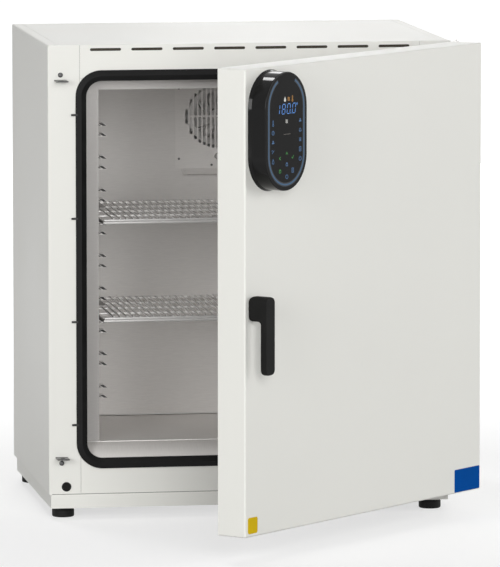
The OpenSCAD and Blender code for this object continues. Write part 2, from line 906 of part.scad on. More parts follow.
module fan_shaft() {
    color("gainsboro") rod_y(0, fan_z, shaft_r, baffle_y + fan_front + 1, motor_front + shaft_in);
}

// One backward curved blade, seen along the shaft
module blade() {
    bow = fan_r * 0.7;
    intersection() {
        difference() {
            translate([fan_r * 0.36, -bow * 0.82]) circle(bow);
            translate([fan_r * 0.36, -bow * 0.82]) circle(bow - 1.5);
        }
        difference() {
            circle(fan_r - 1);
            circle(fan_r * 0.4);
        }
        translate([0, -fan_r * 0.32]) square([fan_r, fan_r]);
    }
}

module fan_impeller() {
    y0 = baffle_y + fan_front;
    y1 = liner_back - fan_rear;
    color([0.45, 0.44, 0.43]) difference() {
        union() {
            rod_y(0, fan_z, fan_r, y1 - 1.5, y1);
            rod_y(0, fan_z, shaft_r + 7, y0 + 6, y1);
            translate([0, 0, fan_z]) along_y(y0 + 1, y1 - 1)
                for (n = [0 : blade_count - 1]) rotate(n * 360 / blade_count) blade();
            translate([0, 0, fan_z]) along_y(y0, y0 + 1.5) difference() {
                circle(fan_r);
                circle(fan_r - 10);
            }
        }
        rod_y(0, fan_z, shaft_r, y0, y1 + 1);
    }
}

module exhaust_spigot() {
    color("silver") difference() {
        union() {
            rod_y(spigot_side, spigot_z, spigot_r, liner_back + inox, spigot_back);
            rod_y(spigot_side, spigot_z, spigot_r + spigot_flange, liner_back + inox,
                  liner_back + inox + spigot_flange_t);
        }
        rod_y(spigot_side, spigot_z, spigot_r - spigot_wall, liner_back, spigot_back + 1);
    }
}

module mains_inlet() {
    color([0.12, 0.12, 0.12]) {
        difference() {
            union() {
                along_y(cab_d, cab_d + inlet_rim) pane([inlet_x - inlet_w / 2, inlet_z - inlet_h / 2],
                    [inlet_x + inlet_w / 2, inlet_z + inlet_h / 2], 4);
                block([inlet_x - inlet_body_w / 2, cab_d - inlet_in, inlet_z - inlet_body_h / 2],
                      [inlet_x + inlet_body_w / 2, cab_d + 1, inlet_z + inlet_body_h / 2]);
            }
            along_y(cab_d - socket_d, cab_d + 3) pane([inlet_x - socket_w / 2, inlet_z - socket_h / 2],
                [inlet_x + socket_w / 2, inlet_z + socket_h / 2], 2);
        }
        for (side = [-1, 0, 1])
            translate([inlet_x + side * 7, 0, inlet_z - (side == 0 ? 4 : 1)])
                block([-1, cab_d - socket_d - 1, -2], [1, cab_d - 2, 2]);
    }
}

// Gasket, its pins, catches and plugs

// Flat base with two slanted flanks that meet in a rounded ridge
module gasket_profile() {
    half = gasket_band / 2;
    shoulder = gasket_proud * 0.42;
    ridge_z = gasket_proud - gasket_ridge;
    slope = atan2(ridge_z - shoulder, half - gasket_ridge);
    polygon([[-half, 0], [half, 0], [half, shoulder],
             [gasket_ridge * sin(slope), ridge_z + gasket_ridge * cos(slope)],
             [-gasket_ridge * sin(slope), ridge_z + gasket_ridge * cos(slope)], [-half, shoulder]]);
    translate([0, ridge_z]) circle(gasket_ridge);
}

module gasket_run(l) {
    rotate([90, 0, 90]) translate([0, 0, -l / 2]) linear_extrude(l) gasket_profile();
}

module gasket() {
    mid_w = gasket_w / 2 - gasket_band / 2;
    mid_h = gasket_h / 2 - gasket_band / 2;
    run_w = gasket_w - 2 * gasket_corner;
    run_h = gasket_h - 2 * gasket_corner;
    corner_w = run_w / 2;
    corner_h = run_h / 2;
    color([0.12, 0.12, 0.12]) translate([0, 0, (gasket_z0 + gasket_z1) / 2]) rotate([90, 0, 0]) union() {
        for (side = [-1, 1]) {
            translate([0, side * mid_h, 0]) gasket_run(run_w);
            translate([side * mid_w, 0, 0]) rotate([0, 0, 90]) gasket_run(run_h);
        }
        for (turn = [0 : 3])
            translate([(turn == 0 || turn == 3 ? 1 : -1) * corner_w, (turn < 2 ? 1 : -1) * corner_h, 0])
                rotate([0, 0, 90 * turn]) rotate_extrude(angle = 90)
                    translate([gasket_corner - gasket_band / 2, 0]) gasket_profile();
    }
}

module gasket_pins() {
    z_mid = (gasket_z0 + gasket_z1) / 2;
    color("gainsboro") for (side = [-1, 1], n = [0 : pin_count - 1])
        translate([side * (gasket_w / 2 + 4.5), 0, z_mid + (n - (pin_count - 1) / 2) * pin_pitch]) {
            pan_head(3.6, 2);
            rotate([90, 0, 0]) cylinder(r = 1.6, h = 5);
        }
}

// Angle plate behind the painted panel, its tongue through the panel's slot
module catch_plate() {
    color("lightgray") difference() {
        union() {
            block([latch_x - catch_w / 2, -catch_out, -catch_t / 2],
                  [latch_x + catch_w / 2, sheet + catch_t, catch_t / 2]);
            block([latch_x - catch_w / 2, sheet, -catch_t / 2],
                  [latch_x + catch_w / 2, sheet + catch_t, catch_leg]);
        }
        rod_z(latch_x, latch_y, catch_hole_r, -catch_t, catch_t);
        rod_y(latch_x, catch_screw, 2, sheet - 1, sheet + catch_t + 1);
    }
}

module upper_catch() {
    translate([0, 0, catch_high]) catch_plate();
}

module lower_catch() {
    translate([0, 0, catch_low]) mirror([0, 0, 1]) catch_plate();
}

module catch_screws() {
    color("gainsboro") for (z = [catch_high + catch_screw, catch_low - catch_screw])
        translate([latch_x, 0, z]) {
            pan_head(3.6, 2.6);
            rotate([-90, 0, 0]) cylinder(r = 2, h = sheet + catch_t + 1);
        }
}

module blanking_plugs() {
    color([0.08, 0.08, 0.08]) for (x = [-plug_x, plug_x]) {
        translate([x, 0, plug_z]) pan_head(plug_r, 2.2);
        rod_y(x, plug_z, plug_r - 2, 0, sheet + 3);
    }
}

// Shelf runners and shelves

// Channel that hangs on a level's upper tabs, which pass through openings in its web
module runner(level) {
    color("lightgray") translate([-ch_half + slip, 0, level_z(level)]) difference() {
        along_y(runner_y0, runner_y1) difference() {
            translate([0, runner_low]) square([runner_flange, runner_h]);
            translate([runner_t, runner_low + runner_t]) square([runner_flange, runner_h - 2 * runner_t]);
        }
        for (y = [tab_front, tab_back])
            block([-1, y - slip, tab_half_gap - slip],
                  [runner_t + 1, y + tab_l + slip, tab_half_gap + tab_h + slip]);
    }
}

module upper_runners() {
    left_and_right() runner(high_level);
}

module lower_runners() {
    left_and_right() runner(low_level);
}

// Welded wire shelf: a frame of side rods and a front rod on the runners, with the mesh above it
module shelf(level) {
    rod_in = frame_rod / 2;
    frame_z = level_z(level) + rod_z0;
    upper_z = frame_z + frame_rod - weld;
    wire_z = upper_z + rod_in;
    y0 = shelf_y0 + rod_in;
    y1 = shelf_y0 + shelf_d - rod_in;
    x1 = shelf_w / 2 - rod_in;
    cross_z = upper_z;
    color("gainsboro") union() {
        for (x = [-x1, x1]) {
            rod_y(x, frame_z, rod_in, y0, y1);
            translate([x, y0, frame_z]) sphere(rod_in);
        }
        rod_x(y0, frame_z, rod_in, -x1, x1);
        for (y = [y0, y1]) rod_x(y, upper_z, rod_in, -x1, x1);
        for (n = [1 : cross_count])
            rod_x(y0 + n * (y1 - y0) / (cross_count + 1), cross_z, cross_rod / 2, -x1, x1);
        for (n = [-wire_rows : wire_rows])
            rod_y(n * wire_pitch, wire_z, wire / 2, y0 - 1, y1 + 1);
    }
}

module upper_shelf() {
    shelf(high_level);
}

module lower_shelf() {
    shelf(low_level);
}

// Hinges

module knuckle(z0, bore) {
    difference() {
        rod_z(hinge_x, hinge_y, knuckle_r, z0, z0 + knuckle_l);
        rod_z(hinge_x, hinge_y, bore, z0 - 1, z0 + knuckle_l + 1);
    }
}

module hinge_brackets() {
    color([0.75, 0.75, 0.74]) for (z0 = [low_hinge_z, high_hinge_z]) difference() {
        union() {
            knuckle(z0, hinge_pin_r);
            block([half_w, hinge_y, z0], [hinge_x, hinge_y + knuckle_r, z0 + knuckle_l]);
            block([half_w, hinge_y, z0], [half_w + strap_t, strap_l, z0 + knuckle_l]);
        }
        rod_z(hinge_x, hinge_y, hinge_pin_r, z0 - 1, z0 + knuckle_l + 1);
    }
}

module hinge_pins() {
    color("gainsboro") for (z0 = [low_hinge_z, high_hinge_z])
        rod_z(hinge_x, hinge_y, hinge_pin_r, z0, z0 + 2 * knuckle_l + slip + hinge_pin_up);
}

module hinge_leaves() {
    color([0.75, 0.75, 0.74]) for (low = [low_hinge_z, high_hinge_z]) {
        z0 = low + knuckle_l + slip;
        difference() {
            union() {
                knuckle(z0, hinge_pin_r + running);
                block([door_half, hinge_y - knuckle_r, z0], [hinge_x, hinge_y, z0 + knuckle_l]);
                block([door_half, door_back - strap_l, z0],
                      [door_half + strap_t, hinge_y, z0 + knuckle_l]);
            }
            rod_z(hinge_x, hinge_y, hinge_pin_r + running, z0 - 1, z0 + knuckle_l + 1);
        }
    }
}

// Door

module door_body(inset) {
    intersection() {
        along_y(door_front + inset, door_back)
            pane([-door_half + inset, door_z0 + inset], [door_half - inset, door_z1 - inset],
                 bend_r - inset);
        along_z(door_z0, door_z1) pane([-door_half + inset, door_front + inset],
            [door_half - inset, door_back + bend_r], bend_r - inset);
        along_x(-door_half, door_half) pane([door_front + inset, door_z0 + inset],
            [door_back + bend_r, door_z1 - inset], bend_r - inset);
    }
}

module door_outer_panel() {
    color("whitesmoke") difference() {
        door_body(0);
        door_body(sheet);
        block([-door_half + sheet, door_front + 3 * bend_r, door_z0 + sheet],
              [door_half - sheet, door_back + 1, door_z1 - sheet]);
        rod_y(latch_x, handle_z, bush_r + slip, door_front - 1, door_front + sheet + 1);
    }
}

module door_inner_panel() {
    half = door_half - pan_in;
    z0 = door_z0 + pan_in;
    z1 = door_z1 - pan_in;
    field_half = collar_half - field_gap;
    field_z0 = collar_z0 + field_gap;
    field_z1 = collar_z1 - field_gap;
    color([0.72, 0.71, 0.69]) difference() {
        union() {
            block([-half, pan_y, z0], [half, door_back, z1]);
            difference() {
                block([-half, pan_y - pan_lip, z0], [half, pan_y + 0.5, z1]);
                block([-half + pan_t, pan_y - pan_lip - 1, z0 + pan_t],
                      [half - pan_t, pan_y + 1, z1 - pan_t]);
            }
            along_y(pan_y, door_back + field_h) pane([-field_half, field_z0],
                [field_half, field_z1], collar_corner);
        }
        along_y(pan_y - 1, door_back + field_h - pan_t) pane([-field_half + pan_t, field_z0 + pan_t],
            [field_half - pan_t, field_z1 - pan_t], collar_corner - pan_t);
        for (z = [catch_high, catch_low])
            block([latch_x - catch_w / 2 - 3, pan_y - 1, z - catch_t / 2 - 3],
                  [latch_x + catch_w / 2 + 3, door_back + 1, z + catch_t / 2 + 3]);
    }
}

module door_insulation() {
    color("khaki") block([latch_x + case_half_w + 8, door_front + sheet + slip, door_z0 + 20],
                         [door_half - 20, pan_y - slip, door_z1 - 20]);
}

module corner_plate_blue() {
    color([0.05, 0.35, 0.7]) along_y(door_front - plate_t, door_front)
        pane([door_half - plate_in - plate_w, door_z0 + plate_up],
             [door_half - plate_in, door_z0 + plate_up + plate_h], 2);
}

module edge_marker() {
    color("gold") along_y(door_front - marker_t, door_front)
        pane([-door_half + marker_in, door_z0 + marker_up],
             [-door_half + marker_in + marker_w, door_z0 + marker_up + marker_w], 4);
}

// Control pod: a stadium swept round a rounded edge, hollow behind its glass

module stadium(r) {
    square([2 * r, 2 * pod_straight], center = true);
    for (side = [-1, 1]) translate([0, side * pod_straight]) circle(r);
}

module pod_edge_profile() {
    r = pod_w / 2;
    square([r - pod_edge, pod_d]);
    square([r, pod_d - pod_edge]);
    polygon([[0, 0], [r + pod_flare, 0], [r, pod_foot], [0, pod_foot]]);
    translate([r - pod_edge, pod_d - pod_edge]) circle(pod_edge);
}

module pod_body() {
    for (side = [-1, 1])
        translate([0, side * pod_straight, 0]) rotate_extrude() pod_edge_profile();
    rotate([90, 0, 0]) translate([0, 0, -pod_straight]) linear_extrude(2 * pod_straight) {
        pod_edge_profile();
        mirror([1, 0]) pod_edge_profile();
    }
}

// Carries a pod part, drawn flat with z outwards, to its place on the door's face
module on_pod() {
    translate([pod_x, door_front, pod_z]) rotate([90, 0, 0]) children();
}

module pod_housing() {
    r = pod_w / 2;
    color([0.13, 0.13, 0.14]) on_pod() difference() {
        pod_body();
        translate([0, 0, pod_d - glass_t]) linear_extrude(glass_t + 1) stadium(r - glass_in);
        translate([0, 0, pod_wall]) linear_extrude(pod_d) stadium(r - glass_in - pod_wall);
    }
}

module ring_shape() {
    r = pod_w / 2 - ring_in;
    translate([0, -ring_drop]) difference() {
        stadium(r);
        stadium(r - ring_w);
        translate([-ring_gap / 2, 0]) square([ring_gap, pod_h]);
    }
}

module pod_glass() {
    color([0.03, 0.03, 0.04]) on_pod() difference() {
        translate([0, 0, pod_d - glass_t]) linear_extrude(glass_t)
            stadium(pod_w / 2 - glass_in);
        translate([0, 0, pod_d - glass_t / 2]) linear_extrude(glass_t) ring_shape();
    }
}

module pod_light_ring() {
    color([0.1, 0.45, 1]) on_pod() translate([0, 0, pod_d - glass_t / 2])
        linear_extrude(glass_t / 2) ring_shape();
}

module pod_board() {
    inner = pod_w / 2 - glass_in - pod_wall;
    color("darkgreen") on_pod() {
        translate([0, 0, board_y]) linear_extrude(board_t) stadium(inner - 3);
        for (x = [-25, 25], y = [-60, 60])
            translate([x, y, pod_wall]) cylinder(r = 3.5, h = board_y + 0.5 - pod_wall);
        translate([-30, 20, board_y]) cube([60, 30, 8]);
    }
}

// Handle, lock and bolts

// Side view of the handle: a neck out from the door and a grip hanging from it
module handle_side() {
    low = neck_h / 2 - handle_l;
    pane([rosette_t, -neck_h / 2], [grip_reach, neck_h / 2], neck_round);
    pane([grip_reach - grip_t, low], [grip_reach, neck_h / 2], grip_round);
    difference() {
        translate([grip_reach - grip_t - 6, -neck_h / 2 - 6]) square([7, 7]);
        translate([grip_reach - grip_t - 6, -neck_h / 2 - 6]) circle(6);
    }
}

module handle_lever() {
    low = neck_h / 2 - handle_l;
    color([0.1, 0.1, 0.1]) difference() {
        translate([latch_x, door_front, handle_z]) intersection() {
            rotate([0, 0, 180]) along_x(-grip_w / 2, grip_w / 2) handle_side();
            along_y(-grip_reach, 0) pane([-grip_w / 2, low], [grip_w / 2, neck_h / 2], grip_corner_r);
        }
        block([latch_x - spindle_side / 2, door_front - grip_reach + 10, handle_z - spindle_side / 2],
              [latch_x + spindle_side / 2, door_front, handle_z + spindle_side / 2]);
    }
}

module handle_rosette() {
    color([0.2, 0.2, 0.2]) difference() {
        union() {
            rod_y(latch_x, handle_z, rosette_r, door_front - rosette_t + slip, door_front);
            rod_y(latch_x, handle_z, bush_r, door_front - 0.5, door_front + bush_l);
        }
        rod_y(latch_x, handle_z, spindle_r + running, door_front - rosette_t - 1,
              door_front + bush_l + 1);
    }
}

module lock_spindle() {
    half = spindle_side / 2;
    color("silver") {
        block([latch_x - half, door_front - grip_reach + 10, handle_z - half],
              [latch_x + half, door_front - rosette_t, handle_z + half]);
        rod_y(latch_x, handle_z, spindle_r, door_front - rosette_t, door_front + bush_l + 2);
        block([latch_x - half, door_front + bush_l + 1, handle_z - half],
              [latch_x + half, latch_y + rack_t / 2, handle_z + half]);
        rod_y(latch_x, handle_z, pivot_r, latch_y + rack_t / 2 - 1, pan_y - 0.4);
    }
}

function involute(a) = tan(a) * 180 / PI - a;
function flank(r) = r <= base_r
    ? (90 - tooth_play * 90 / (PI * tooth_m)) / tooth_count + involute(tooth_angle)
    : (90 - tooth_play * 90 / (PI * tooth_m)) / tooth_count + involute(tooth_angle)
      - involute(acos(base_r / r));

module pinion_tooth() {
    steps = 6;
    radii = [for (n = [0 : steps]) base_r + (tip_r - base_r) * n / steps];
    polygon(concat(
        [[root_r - 1, -(root_r - 1) * tan(flank(base_r))]],
        [for (r = radii) r * [cos(flank(r)), -sin(flank(r))]],
        [for (n = [steps : -1 : 0]) radii[n] * [cos(flank(radii[n])), sin(flank(radii[n]))]],
        [[root_r - 1, (root_r - 1) * tan(flank(base_r))]]));
}

module lock_pinion() {
    color("darkgoldenrod") difference() {
        translate([latch_x, 0, handle_z]) along_y(latch_y - rack_t / 2, latch_y + rack_t / 2) {
            circle(root_r);
            for (n = [0 : tooth_count - 1]) rotate(n * 360 / tooth_count) pinion_tooth();
        }
        block([latch_x - spindle_side / 2, latch_y - rack_t, handle_z - spindle_side / 2],
              [latch_x + spindle_side / 2, latch_y + rack_t, handle_z + spindle_side / 2]);
    }
}

// Rack on the right of the pinion, its bridge to the bolt's line, and the bolt
module bolt(tip) {
    half = tooth_m * PI / 4 - tooth_play / 4;
    slope = tan(tooth_angle);
    union() {
        along_y(-rack_t / 2, rack_t / 2) {
            translate([rack_in, -rack_span]) square([rack_back, rack_span + bridge_z + 1]);
            for (n = [-6 : 1]) translate([0, (n + 0.5) * PI * tooth_m]) polygon([
                [rack_in + 0.2, -half - (0.2 + 1.25 * tooth_m) * slope],
                [pitch_r - tooth_m, -half + tooth_m * slope],
                [pitch_r - tooth_m, half - tooth_m * slope],
                [rack_in + 0.2, half + (0.2 + 1.25 * tooth_m) * slope]]);
        }
        block([-bolt_r, -rack_t / 2, bridge_z], [rack_out, rack_t / 2, bridge_z + bridge_h]);
        rod_z(0, 0, bolt_r, bridge_z + 1, tip);
    }
}

module upper_bolt() {
    color("silver") translate([latch_x, latch_y, handle_z])
        bolt(catch_high - catch_t / 2 - bolt_gap - handle_z);
}

module lower_bolt() {
    color("silver") translate([latch_x, latch_y, handle_z]) rotate([0, 180, 0])
        bolt(handle_z - catch_low - catch_t / 2 - bolt_gap);
}

module lock_case() {
    y1 = pan_y;
    y0 = pan_y - case_depth;
    color([0.6, 0.6, 0.58]) difference() {
        block([latch_x - case_half_w, y0, handle_z - case_half_h],
              [latch_x + case_half_w, y1, handle_z + case_half_h]);
        block([latch_x - case_half_w + case_wall, y0 + 1.5, handle_z - case_half_h - 1],
              [latch_x + case_half_w - case_wall, y1 - case_wall, handle_z + case_half_h + 1]);
        rod_y(latch_x, handle_z, spindle_r + 1, y0 - 1, y0 + 3);
        rod_y(latch_x, handle_z, pivot_r + running, y1 - case_wall - 1, y1 + 1);
    }
}

module bolt_guides() {
    color([0.2, 0.2, 0.22]) for (z = [catch_high - guide_gap - guide_l, catch_low + guide_gap])
        difference() {
            block([latch_x - bolt_r - 5, latch_y - bolt_r - 4, z],
                  [latch_x + bolt_r + 5, pan_y, z + guide_l]);
            rod_z(latch_x, latch_y, bolt_r + bolt_running, z - 1, z + guide_l + 1);
        }
}

placed() base_frame();
placed() feet();
placed() left_side_panel();
placed() right_side_panel();
placed() top_panel();
placed() front_frame();
placed() rear_panel();
placed() insulation();
placed() chamber_liner();
placed() front_collar();
placed() left_rack_wall();
placed() right_rack_wall();
placed() rear_baffle();
placed() fan_cover();
placed() cover_screws();
placed() temperature_probe();
placed() heater_coil();
placed() fan_motor();
placed() gasket();
placed() gasket_pins();
placed() upper_catch();
placed() lower_catch();
placed() catch_screws();
placed() blanking_plugs();
placed() hinge_brackets();
placed() hinge_pins();
placed() exhaust_spigot();
placed() mains_inlet();
placed() upper_runners();
placed() lower_runners();
hung() door_outer_panel();
hung() door_inner_panel();
hung() door_insulation();
hung() hinge_leaves();
hung() pod_housing();
hung() pod_glass();
hung() pod_light_ring();
hung() pod_board();
hung() handle_rosette();
hung() lock_case();
hung() bolt_guides();
hung() corner_plate_blue();
hung() edge_marker();
hung() handle_lever();
hung() lock_spindle();
hung() lock_pinion();
hung() upper_bolt();
hung() lower_bolt();
placed() fan_impeller();
placed() fan_shaft();
placed() upper_shelf();
placed() lower_shelf();
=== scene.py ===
# Drying oven with its door open: finishes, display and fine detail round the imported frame.
# Lengths are in metres. MM turns millimetres into metres.
import json
from math import cos, pi, radians, sin
import bmesh
import bpy
from mathutils import Matrix, Vector


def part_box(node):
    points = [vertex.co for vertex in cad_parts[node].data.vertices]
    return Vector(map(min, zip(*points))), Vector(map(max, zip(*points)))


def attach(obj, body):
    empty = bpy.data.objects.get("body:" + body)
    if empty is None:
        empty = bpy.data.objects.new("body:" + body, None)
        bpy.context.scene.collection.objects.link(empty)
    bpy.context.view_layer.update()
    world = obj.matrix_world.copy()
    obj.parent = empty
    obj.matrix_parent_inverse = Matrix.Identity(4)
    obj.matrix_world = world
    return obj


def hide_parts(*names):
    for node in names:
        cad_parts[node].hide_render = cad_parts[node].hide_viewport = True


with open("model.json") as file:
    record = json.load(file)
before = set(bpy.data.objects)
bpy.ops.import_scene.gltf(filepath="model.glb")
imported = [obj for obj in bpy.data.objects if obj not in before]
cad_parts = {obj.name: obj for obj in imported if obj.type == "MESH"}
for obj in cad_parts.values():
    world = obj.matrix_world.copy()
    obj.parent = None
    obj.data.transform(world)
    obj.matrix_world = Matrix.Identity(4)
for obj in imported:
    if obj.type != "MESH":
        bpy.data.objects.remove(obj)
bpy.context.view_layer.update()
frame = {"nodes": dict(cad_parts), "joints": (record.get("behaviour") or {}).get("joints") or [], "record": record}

MM = 0.001
NODES = frame["nodes"]
FLAT = Matrix.Identity(4)

# Camera, fitted to the photograph
CAMERA_PLACE = (-1.8799, -11.5987, 1.7678)
CAMERA_RIGHT = (0.98715, -0.15978, 0.0)
CAMERA_UP = (0.018268, 0.112861, 0.99344)
CAMERA_BACK = (-0.15873, -0.98068, 0.11433)
CAMERA_LENS = 419.7
CAMERA_SENSOR = 36.0
CAMERA_SHIFT = (-0.0242, 0.0055)

# Fineness of turned pieces
TURN_STEPS = 48
SCREW_STEPS = 24
ROD_STEPS = 12
# Angles of a rounded edge, after its start
QUARTER = [pi / 2 * n / 5 for n in range(1, 6)]


# Places that come from the frame

def door_place():
    """Turns a place on the shut door into its place on the open door."""
    hinge = next(joint for joint in frame["joints"] if joint["name"] == "door_hinge")
    anchor = Vector(hinge["pos_m"])
    opening = -radians(hinge["range_deg"][0])
    turn = Matrix.Rotation(opening, 4, "Z")
    return Matrix.Translation(anchor) @ turn @ Matrix.Translation(-anchor)


def islands(node, place=FLAT):
    """Boxes of the separate solids of a CAD node, in the frame that place leads from."""
    work = bmesh.new()
    work.from_mesh(NODES[node].data)
    work.transform(place.inverted())
    bmesh.ops.remove_doubles(work, verts=work.verts, dist=0.01 * MM)
    left = set(work.verts)
    boxes = []
    while left:
        front = [left.pop()]
        group = list(front)
        while front:
            vert = front.pop()
            for edge in vert.link_edges:
                other = edge.other_vert(vert)
                if other in left:
                    left.remove(other)
                    front.append(other)
                    group.append(other)
        low = Vector([min(v.co[i] for v in group) for i in range(3)])
        high = Vector([max(v.co[i] for v in group) for i in range(3)])
        boxes.append((low, high))
    work.free()
    return sorted(boxes, key=lambda box: [round(box[0][i], 4) for i in (2, 0, 1)])


def whole_box(node, place=FLAT):
    """Box of a whole CAD node, in the frame that place leads from."""
    boxes = islands(node, place)
    low = Vector([min(b[0][i] for b in boxes) for i in range(3)])
    high = Vector([max(b[1][i] for b in boxes) for i in range(3)])
    return low, high


DOOR = door_place()


# Node materials

def new_material(name):
    mat = bpy.data.materials.new(name)
    mat.use_nodes = True
    tree = mat.node_tree
    tree.nodes.clear()
    shader = tree.nodes.new("ShaderNodeBsdfPrincipled")
    out = tree.nodes.new("ShaderNodeOutputMaterial")
    tree.links.new(shader.outputs["BSDF"], out.inputs["Surface"])
    return mat, tree, shader


def share_of_box(tree, axis):
    """How far along its own box a piece's point lies, from 0 to 1."""
    place = tree.nodes.new("ShaderNodeTexCoord")
    axes = tree.nodes.new("ShaderNodeSeparateXYZ")
    tree.links.new(place.outputs["Generated"], axes.inputs["Vector"])
    return axes.outputs[axis]


def coordinates(tree, scale=(1, 1, 1)):
    """A piece's own coordinates, each times its scale."""
    place = tree.nodes.new("ShaderNodeTexCoord")
    mapping = tree.nodes.new("ShaderNodeMapping")
    mapping.inputs["Scale"].default_value = scale
    tree.links.new(place.outputs["Object"], mapping.inputs["Vector"])
    return mapping.outputs["Vector"]


def noise(tree, vector, scale, detail=3.0, roughness=0.5):
    node = tree.nodes.new("ShaderNodeTexNoise")
    node.inputs["Scale"].default_value = scale
    node.inputs["Detail"].default_value = detail
    node.inputs["Roughness"].default_value = roughness
    tree.links.new(vector, node.inputs["Vector"])
    return node.outputs["Fac"]


def ramp(tree, value, low, high, at=(0.35, 0.65)):
    """Colours from low to high while value goes from at[0] to at[1]."""
    node = tree.nodes.new("ShaderNodeValToRGB")
    first, second = node.color_ramp.elements
    first.position, second.position = at
    first.color = (*low, 1)
    second.color = (*high, 1)
    tree.links.new(value, node.inputs["Fac"])
    return node.outputs["Color"]


def span(tree, value, low, high):
    """Number from low to high while value goes from 0.3 to 0.7."""
    node = tree.nodes.new("ShaderNodeMapRange")
    node.inputs["From Min"].default_value = 0.3
    node.inputs["From Max"].default_value = 0.7
    node.inputs["To Min"].default_value = low
    node.inputs["To Max"].default_value = high
    tree.links.new(value, node.inputs["Value"])
    return node.outputs["Result"]


def bump(tree, shader, height, strength, distance):
    """Fine relief from a height, distance deep."""
    node = tree.nodes.new("ShaderNodeBump")
    node.inputs["Strength"].default_value = strength
    node.inputs["Distance"].default_value = distance
    tree.links.new(height, node.inputs["Height"])
    tree.links.new(node.outputs["Normal"], shader.inputs["Normal"])


def shade(colour, factor):
    return tuple(min(1.0, c * factor) for c in colour)


def product(tree, first, second):
    """Product of two colours."""
    blend = tree.nodes.new("ShaderNodeMix")
    blend.data_type = "RGBA"
    blend.blend_type = "MULTIPLY"
    blend.inputs["Factor"].default_value = 1.0
    tree.links.new(first, blend.inputs[6])
    tree.links.new(second, blend.inputs[7])
    return blend.outputs[2]


def surface(name, colour, rough, metal=0.0, level=0.5, ior=1.5, clouds=(6.0, 0.03), grain=None,
            brush=None, coat=0.0, fade=None):
    """Finish with cloudy colour and roughness, an optional fine grain and an optional brushed direction.

    clouds is (scale, share of colour), grain is (scale, strength, depth), brush is the stretched scale, and
    fade is the share of colour left at the piece's top, a painted shade that darkens the piece towards its top.
    """
    mat, tree, shader = new_material(name)
    vector = coordinates(tree)
    cloud = noise(tree, vector, clouds[0], 4.0)
    tint = ramp(tree, cloud, shade(colour, 1 - clouds[1]), shade(colour, 1 + clouds[1]))
    value = cloud
    if brush:
        value = noise(tree, coordinates(tree, brush), 1.0, 5.0, 0.7)
        lines = ramp(tree, value, (0.93, 0.93, 0.93), (1.0, 1.0, 1.0))
        tint = product(tree, tint, lines)
    # painted shade: the colour darkens towards the top of the piece's box
    if fade:
        left = ramp(tree, share_of_box(tree, "Z"), (1.0, 1.0, 1.0), (fade, fade, fade))
        tint = product(tree, tint, left)
    tree.links.new(tint, shader.inputs["Base Color"])
    tree.links.new(span(tree, value, rough * 0.9, rough * 1.1), shader.inputs["Roughness"])
    shader.inputs["Metallic"].default_value = metal
    shader.inputs["Specular IOR Level"].default_value = level
    shader.inputs["IOR"].default_value = ior
    shader.inputs["Coat Weight"].default_value = coat
    if grain:
        bump(tree, shader, noise(tree, vector, grain[0], 2.0), grain[1], grain[2])
    elif brush:
        bump(tree, shader, value, 0.08, 0.02 * MM)
    return mat


def glow(name, colour, strength, body=(0.02, 0.02, 0.02)):
    """Lit print behind glass, a little uneven."""
    mat, tree, shader = new_material(name)
    uneven = ramp(tree, noise(tree, coordinates(tree), 400.0), shade(colour, 0.88), colour)
    tree.links.new(uneven, shader.inputs["Emission Color"])
    shader.inputs["Emission Strength"].default_value = strength
    base = ramp(tree, noise(tree, coordinates(tree), 900.0), shade(body, 0.8), body)
    tree.links.new(base, shader.inputs["Base Color"])
    shader.inputs["Roughness"].default_value = 0.4
    shader.inputs["Specular IOR Level"].default_value = 0.2
    return mat


def wool(name, colour):
    """Glass wool: matted fibres."""
    mat, tree, shader = new_material(name)
    fibres = noise(tree, coordinates(tree, (90, 90, 30)), 3.0, 8.0, 0.8)
    tree.links.new(ramp(tree, fibres, shade(colour, 0.7), shade(colour, 1.1)), shader.inputs["Base Color"])
    shader.inputs["Roughness"].default_value = 0.95
    bump(tree, shader, fibres, 0.8, 1.5 * MM)
    return mat


def wire_painted_sheen(name, dark, bright):
    """Welded wire coloured by the way its surface faces: rods that run across are lighter, a painted sheen, and
    wires that run back are darker, a painted shade; the front rail is painted darker, a painted shade.
    """
    mat, tree, shader = new_material(name)
    place = tree.nodes.new("ShaderNodeTexCoord")
    axes = tree.nodes.new("ShaderNodeSeparateXYZ")
    tree.links.new(place.outputs["Normal"], axes.inputs["Vector"])
    size = tree.nodes.new("ShaderNodeMath")
    size.operation = "ABSOLUTE"
    tree.links.new(axes.outputs["Y"], size.inputs[0])
    # painted sheen: lighter colour where the surface faces front or back, darker on the wires that run back
    painted_sheen = ramp(tree, size.outputs[0], dark, bright, at=(0.1, 0.45))
    # painted shade: the front rail at the front of the box is darker
    rail = ramp(tree, share_of_box(tree, "Y"), (0.58, 0.58, 0.58), (1.0, 1.0, 1.0), at=(0.02, 0.05))
    tree.links.new(product(tree, painted_sheen, rail), shader.inputs["Base Color"])
    shader.inputs["Metallic"].default_value = 0.4
    shader.inputs["Roughness"].default_value = 0.28
    return mat


PAINT = (0.85, 0.847, 0.80)
INOX = (0.36, 0.347, 0.334)
# Colour of the chamber's inside: a brighter copy of the stainless, painted light
LINER = (0.78, 0.757, 0.733)

